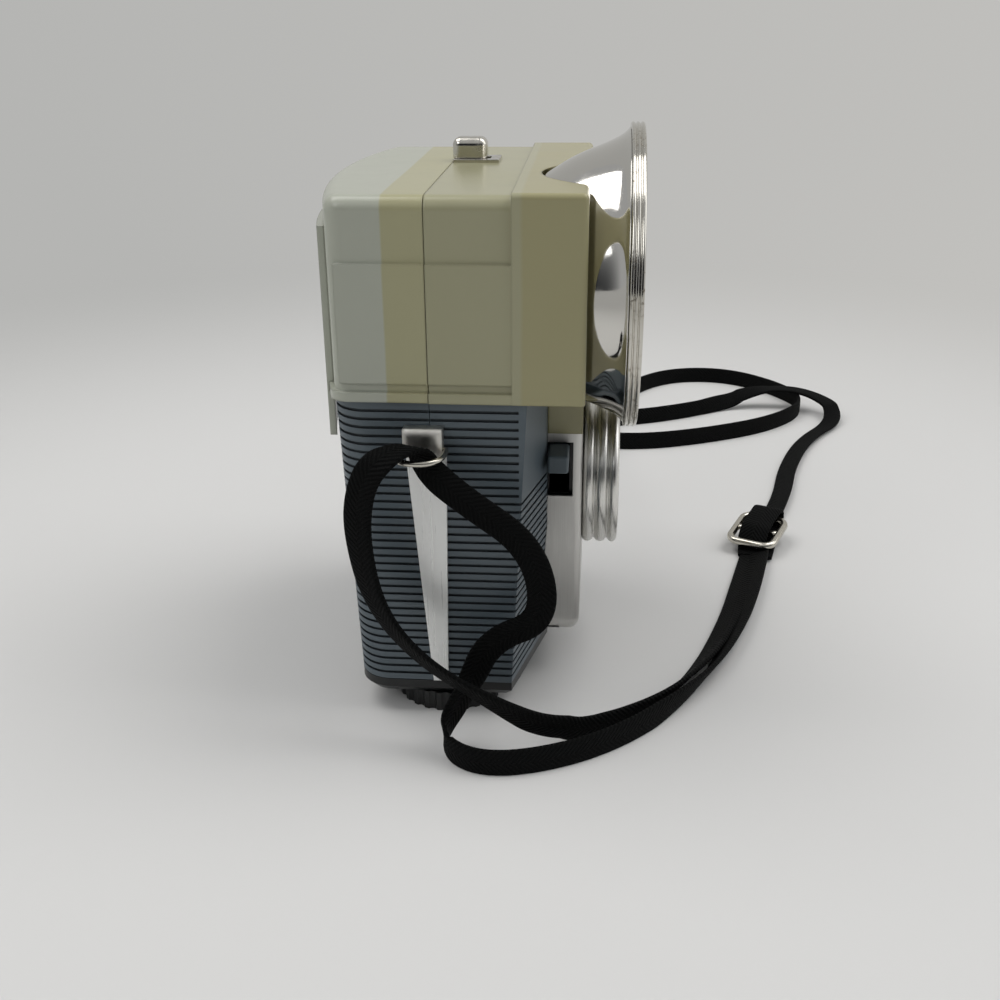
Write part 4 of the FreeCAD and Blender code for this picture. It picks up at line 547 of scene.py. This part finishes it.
# Front panel: thin aluminium sheet, brushed up and down and clear-lacquered, folded
# round the front of the body.
PANEL_LINE = (0.1923, 0.1923, 16.67)
PANEL_LINE_DEPTH, PANEL_EDGE = 0.02, 0.25
PANEL_DARK, PANEL_LIGHT = "#bdbcb8", "#d9d8d5"


def streak_place(tree, size):
    """Object coordinates counted in streaks: each divided by a streak's size that way, which is
    given along x, y and z in millimetres."""
    place = add(tree, "TexCoord").outputs["Object"]
    return add(tree, "Mapping", _0=place, Scale=[1 / (length * MM) for length in size]).outputs[0]


# Brushed aluminium: a broad soft gloss, drawn out across its upright lines. They are
# drawn coarser than the real ones, so that they show.
brushed, tree, shader = finish_of("brushed aluminium sheet", "#cbcac6", roughness=0.34, metallic=1.0)
lines = add(tree, "TexNoise", _0=streak_place(tree, PANEL_LINE), Scale=1.0, Detail=4.0).outputs[0]
vary_gloss(tree, shader, lines, over=(0.3, 0.7), roughness=(0.32, 0.5))
tint(tree, shader, lines, PANEL_DARK, PANEL_LIGHT)
edges = add(tree, "Bevel", {"samples": 6}, Radius=PANEL_EDGE * MM)
bump = add(tree, "Bump", Strength=0.12, Distance=PANEL_LINE_DEPTH * MM, Height=lines, Normal=edges.outputs[0])
tree.links.new(bump.outputs[0], shader.inputs["Normal"])
dress(brushed, "front_panel")

# Lens barrel: one aluminium turning with three rounded ridges, and a dished front face
# that runs down to the bezel of the lens. It is pressed into the front panel.
LENS_HEIGHT = 49.9
BARREL_BACK, BARREL_FRONT = SHIFT - 34.0, SHIFT - 43.3
BARREL_BORE, BARREL_NECK = 10.5, 17.6
RIDGE_ENDS = (BARREL_BACK, SHIFT - 37.2, SHIFT - 40.6, BARREL_FRONT)
RIDGE_FOOT, RIDGE_RISE, RIDGE_FULLNESS = 17.75, 1.5, 0.5
RIDGE_SHARES = np.linspace(0.04, 0.96, 15)
DISH = [(16.2, BARREL_FRONT), (15.4, BARREL_FRONT + 1.0), (BARREL_BORE, BARREL_FRONT + 4.0)]
TURNED_LINE = (11.11, 0.1923, 11.11)


def turned_piece(name, profile, centre_x, centre_z, around=320):
    """A surface of revolution about a line along Y: each profile point, a radius and a place
    along Y in millimetres, swept round a full circle."""
    profile = np.array(profile, float)
    angle = np.linspace(0, 2 * np.pi, around, endpoint=False)
    x = centre_x + profile[None, :, 0] * np.cos(angle)[:, None]
    z = centre_z + profile[None, :, 0] * np.sin(angle)[:, None]
    y = np.broadcast_to(profile[None, :, 1], x.shape)
    return grid_mesh(name, np.stack([x, y, z], axis=-1) * MM, close_u=True, close_v=True)


def ridges(ends, foot, rise, fullness, shares):
    """The outside of ridges that lie side by side, at even shares of each one's length: the
    radius is the foot plus the rise times the sine of a half turn, raised to the fullness."""
    radius = foot + rise * np.sin(np.pi * shares) ** fullness
    outside = []
    for back, front in zip(ends, ends[1:]):
        outside += zip(radius, back + (front - back) * shares)
    return outside


barrel_profile = [(BARREL_BORE, BARREL_BACK), (BARREL_NECK, BARREL_BACK)]
barrel_profile += ridges(RIDGE_ENDS, RIDGE_FOOT, RIDGE_RISE, RIDGE_FULLNESS, RIDGE_SHARES) + DISH
barrel = turned_piece("barrel", barrel_profile, 0.0, LENS_HEIGHT, around=240)

# Turned aluminium: bright, with fine rings that the tool has left round its axis.
turned_metal, tree, shader = finish_of("turned aluminium", "#dddcd8", roughness=0.26, metallic=1.0)
rings = add(tree, "TexNoise", _0=streak_place(tree, TURNED_LINE), Scale=1.0, Detail=3.0).outputs[0]
vary_gloss(tree, shader, rings, over=(0.3, 0.7), roughness=(0.2, 0.38))
dress(turned_metal, barrel)
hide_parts("lens_barrel")
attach(barrel, "camera")

# Flash reflector: a bowl of thin sheet metal, pressed and chromed, with a round hole for
# the bulb socket at its bottom. Its edge flares out and is held in the rim.
BOWL_MIDDLE = (-14.0, 104.2)
BOWL_WALL, BOWL_HOLE, BOWL_EDGE = 0.9, 6.0, 24.0
BOWL_BOTTOM, BOWL_FOCUS = SHIFT - 7.7, 8.525
FLARE = [
    (24.0, SHIFT - 24.59), (26.9, SHIFT - 29.4), (28.7, SHIFT - 33.2), (30.1, SHIFT - 36.8),
    (31.5, SHIFT - 40.0), (32.7, SHIFT - 42.0), (34.0, SHIFT - 43.3),
]
CHROME_HAZE = 6.25


def bowl_profile():
    """A dish, its depth the squared radius over four times the focus, then a smooth flare. The
    inside is the outside moved by the wall, square to it."""
    radius = np.linspace(BOWL_HOLE, BOWL_EDGE, 40)
    dish = np.stack([radius, BOWL_BOTTOM - radius ** 2 / (4 * BOWL_FOCUS)], axis=-1)
    outer = np.vstack([dish, smooth_line(FLARE, steps=6)[1:]])
    slope = unit(np.gradient(outer, axis=0))
    inner = outer + BOWL_WALL * np.stack([slope[:, 1], -slope[:, 0]], axis=-1)
    inner[0, 0] = outer[0, 0]
    inner[-1, 1] = outer[-1, 1]
    return np.vstack([outer, inner[::-1]])


bowl = turned_piece("bowl", bowl_profile(), *BOWL_MIDDLE)

# Bright chrome: a clear mirror, with a thin haze in patches.
chrome, tree, shader = finish_of("bright chrome", "#d3d1cc", roughness=0.07, metallic=1.0)
place = add(tree, "TexCoord").outputs["Object"]
haze = add(tree, "TexNoise", _0=place, Scale=1 / (CHROME_HAZE * MM), Detail=7.0, Roughness=0.75)
vary_gloss(tree, shader, haze.outputs[0], over=(0.45, 0.8), roughness=(0.05, 0.2))
dress(chrome, bowl)
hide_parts("reflector")
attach(bowl, "camera")

# Rim of the reflector: a hoop of chromed sheet with three beads side by side, rolled over
# the edge of the bowl.
RIM_BACK, RIM_FRONT, RIM_RADIUS = SHIFT - 43.35, SHIFT - 46.55, 35.1
BEADS, BEAD_RISE, BEAD_FULLNESS = 3, 0.55, 0.6
BEAD_SHARES = np.linspace(0.06, 0.94, 9)
RIM_INSIDE = [(33.9, RIM_FRONT + 0.02), (33.0, RIM_FRONT + 0.5), (32.95, RIM_BACK)]
RIM_CLEAN, RIM_PITTED = "#cfccc4", "#6d6251"
RIM_PITS, RIM_PATCHES = 1.111, 14.29
bead_ends = np.linspace(RIM_BACK, RIM_FRONT, BEADS + 1)
rim_profile = ridges(bead_ends, RIM_RADIUS - BEAD_RISE, BEAD_RISE, BEAD_FULLNESS, BEAD_SHARES) + RIM_INSIDE
rim = turned_piece("rim", rim_profile, *BOWL_MIDDLE)

# Worn chrome: a mirror, with small brown pits that come in patches.
worn_chrome, tree, shader = finish_of("worn chrome", RIM_CLEAN, roughness=0.12, metallic=1.0)
place = add(tree, "TexCoord").outputs["Object"]
pits = add(tree, "TexNoise", _0=place, Scale=1 / (RIM_PITS * MM), Detail=6.0, Roughness=0.7)
patches = add(tree, "TexNoise", _0=place, Scale=1 / (RIM_PATCHES * MM), Detail=2.0)
pitted = add(tree, "MapRange", _0=pits.outputs[0], _1=0.54, _2=0.66)
patchy = add(tree, "MapRange", _0=patches.outputs[0], _1=0.45, _2=0.6)
wear = add(tree, "Math", {"operation": "MULTIPLY"}, _0=pitted.outputs[0], _1=patchy.outputs[0]).outputs[0]
tint(tree, shader, wear, RIM_CLEAN, RIM_PITTED)
vary_gloss(tree, shader, wear, over=(0.0, 1.0), roughness=(0.1, 0.5))
dress(worn_chrome, rim)
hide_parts("reflector_rim")
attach(rim, "camera")

# Trim strips: tapered strips of chromed brass with a fold along the middle, let into
# both sides of the lower body.
TRIM_STREAK, TRIM_EDGE = (3.333, 0.7143, 22.22), 0.2


def soften(tree, shader, radius):
    """Edges that look rounded: the shading normal averaged within a small radius."""
    edges = add(tree, "Bevel", {"samples": 6}, Radius=radius * MM)
    tree.links.new(edges.outputs[0], shader.inputs["Normal"])


# Chromed brass under clear lacquer: nearly white, with a soft gloss in long streaks. The
# lacquer makes it less of a mirror, so it is only in part metallic.
trim_chrome, tree, shader = finish_of("chromed brass strip", "#f0f1ef", roughness=0.3, metallic=0.3)
streaks = add(tree, "TexNoise", _0=streak_place(tree, TRIM_STREAK), Scale=1.0, Detail=4.0).outputs[0]
vary_gloss(tree, shader, streaks, over=(0.35, 0.75), roughness=(0.26, 0.36))
soften(tree, shader, TRIM_EDGE)
dress(trim_chrome, "trim_strip")

# Latch button with its plate and catch, bulb socket, spool pins, winding key and hinge
# pin: steel parts, stamped or turned, and nickel plated.
PLATED_SMEAR, PLATED_EDGE = 3.333, 0.3

# Nickel plating: a bright metal, dulled by finger smears.
plated, tree, shader = finish_of("nickel plated steel", "#cfccc4", roughness=0.2, metallic=1.0)
place = add(tree, "TexCoord").outputs["Object"]
smear = add(tree, "TexNoise", _0=place, Scale=1 / (PLATED_SMEAR * MM), Detail=5.0, Roughness=0.65)
vary_gloss(tree, shader, smear.outputs[0], over=(0.35, 0.75), roughness=(0.12, 0.34))
soften(tree, shader, PLATED_EDGE)
dress(plated, "latch_button", "latch_plate", "latch_catch", "bulb_socket", "spool_pins", "winding_key",
      "hinge_pin")

# Strap lugs: nickel-plated steel sheet folded over into a soft round block, and riveted
# to the sides of the body.
LUG_SMEAR, LUG_EDGE = 2.857, 2.4

# Nickel plating on folded sheet: paler and softer in gloss than on the turned parts.
folded_plate, tree, shader = finish_of("folded nickel plated sheet", "#dedcd6", roughness=0.36, metallic=1.0)
place = add(tree, "TexCoord").outputs["Object"]
smear = add(tree, "TexNoise", _0=place, Scale=1 / (LUG_SMEAR * MM), Detail=4.0)
vary_gloss(tree, shader, smear.outputs[0], over=(0.35, 0.75), roughness=(0.32, 0.46))
soften(tree, shader, LUG_EDGE)
dress(folded_plate, "strap_lug")

# Rings of the strap: nickel-plated wire bent to a D, whose straight side turns in the
# bore of the lug. Each hangs a little below the level of its lug.
RING_BAR, RING_MIDDLE, RING_HIGH, RING_WIRE_RADIUS = 47.2, SHIFT + 2.1, 72.3, 0.7
RING_HALF, RING_REACH, RING_DROOP, RING_CORNERS = 5.9, 7.3, 0.1, 0.78


def ring_line(side):
    """A D seen from above: a half turn, whose sine and cosine are raised to a power that fills
    out its corners, and a straight side. It droops in proportion to its distance from the bar."""
    sweep = np.linspace(0.0, np.pi, 41)
    straight = np.linspace(-RING_HALF, RING_HALF, 9)[1:-1]
    bow_out = RING_REACH * np.sin(sweep) ** RING_CORNERS
    bow_along = RING_HALF * np.sign(np.cos(sweep)) * np.abs(np.cos(sweep)) ** RING_CORNERS
    out = np.r_[bow_out, np.zeros(len(straight))]
    along = np.r_[bow_along, straight]
    return np.stack([side * (RING_BAR + out), RING_MIDDLE + along, RING_HIGH - RING_DROOP * out], axis=-1)


for node, body, side in (("ring_near", "near_ring", -1), ("ring_far", "far_ring", 1)):
    ring = moved(wire_loop(f"wire_{node}", ring_line(side), RING_WIRE_RADIUS), Matrix.Scale(MM, 4))
    dress(nickel, ring)
    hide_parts(node)
    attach(ring, body)

# Springs, the pressure plate and the shutter's own plates: bare spring steel, punched
# from rolled strip or wound from wire.
STEEL_ROLL, STEEL_EDGE = 4.167, 0.15
STEEL_DARK, STEEL_LIGHT = "#7d7f80", "#9fa1a2"

# Bare steel: a grey, half-bright metal with cloudy marks of rolling.
steel, tree, shader = finish_of("bare spring steel", "#8d8f90", roughness=0.3, metallic=1.0)
place = add(tree, "TexCoord").outputs["Object"]
roll = add(tree, "TexNoise", _0=place, Scale=1 / (STEEL_ROLL * MM), Detail=4.0)
tint(tree, shader, roll.outputs[0], STEEL_DARK, STEEL_LIGHT)
soften(tree, shader, STEEL_EDGE)
dress(steel, "latch_spring", "pressure_plate", "pressure_spring", "shutter_plate", "shutter_blade",
      "lever_spring")

# Contacts of the cells and of the bulb: brass strip, punched and bent, and pushed into
# slots of the mouldings.
BRASS_PATCH, BRASS_DULL, BRASS_BRIGHT = 3.846, "#8a6a35", "#bd9a5a"

# Dull brass: a warm yellow metal, browned in patches.
brass, tree, shader = finish_of("dull brass strip", "#a78447", roughness=0.34, metallic=1.0)
place = add(tree, "TexCoord").outputs["Object"]
tarnish = add(tree, "TexNoise", _0=place, Scale=1 / (BRASS_PATCH * MM), Detail=5.0)
tint(tree, shader, tarnish.outputs[0], BRASS_DULL, BRASS_BRIGHT)
dress(brass, "cell_contacts", "bulb_contact")

# Cells: two round cells that lie in their tray, each in a plain sleeve of card, rolled
# round it and glued.
CARD_FLECK, CARD_DARK, CARD_LIGHT = 2.381, "#35434e", "#44545f"

# Waxed card: a blue-grey with a dull sheen and small flecks.
card, tree, shader = finish_of("waxed card sleeve", "#3b4a55", roughness=0.5)
place = add(tree, "TexCoord").outputs["Object"]
flecks = add(tree, "TexNoise", _0=place, Scale=1 / (CARD_FLECK * MM), Detail=4.0)
tint(tree, shader, flecks.outputs[0], CARD_DARK, CARD_LIGHT)
dress(card, "cell_lower", "cell_upper")

# Lens and viewfinder glasses: clear moulded glass, held by their mounts. The film window
# in the back is a disc of dark red plastic, which keeps the light from the film.
glass, _, _ = finish_of("clear glass", "#f4f6f4", roughness=0.02, Transmission_Weight=1.0, IOR=1.5)
dress(glass, "lens_glass", "finder_lens", "finder_eyepiece")
red, _, _ = finish_of("dark red plastic", "#6e0f0d", roughness=0.12, Transmission_Weight=0.6, IOR=1.49)
dress(red, "film_window")
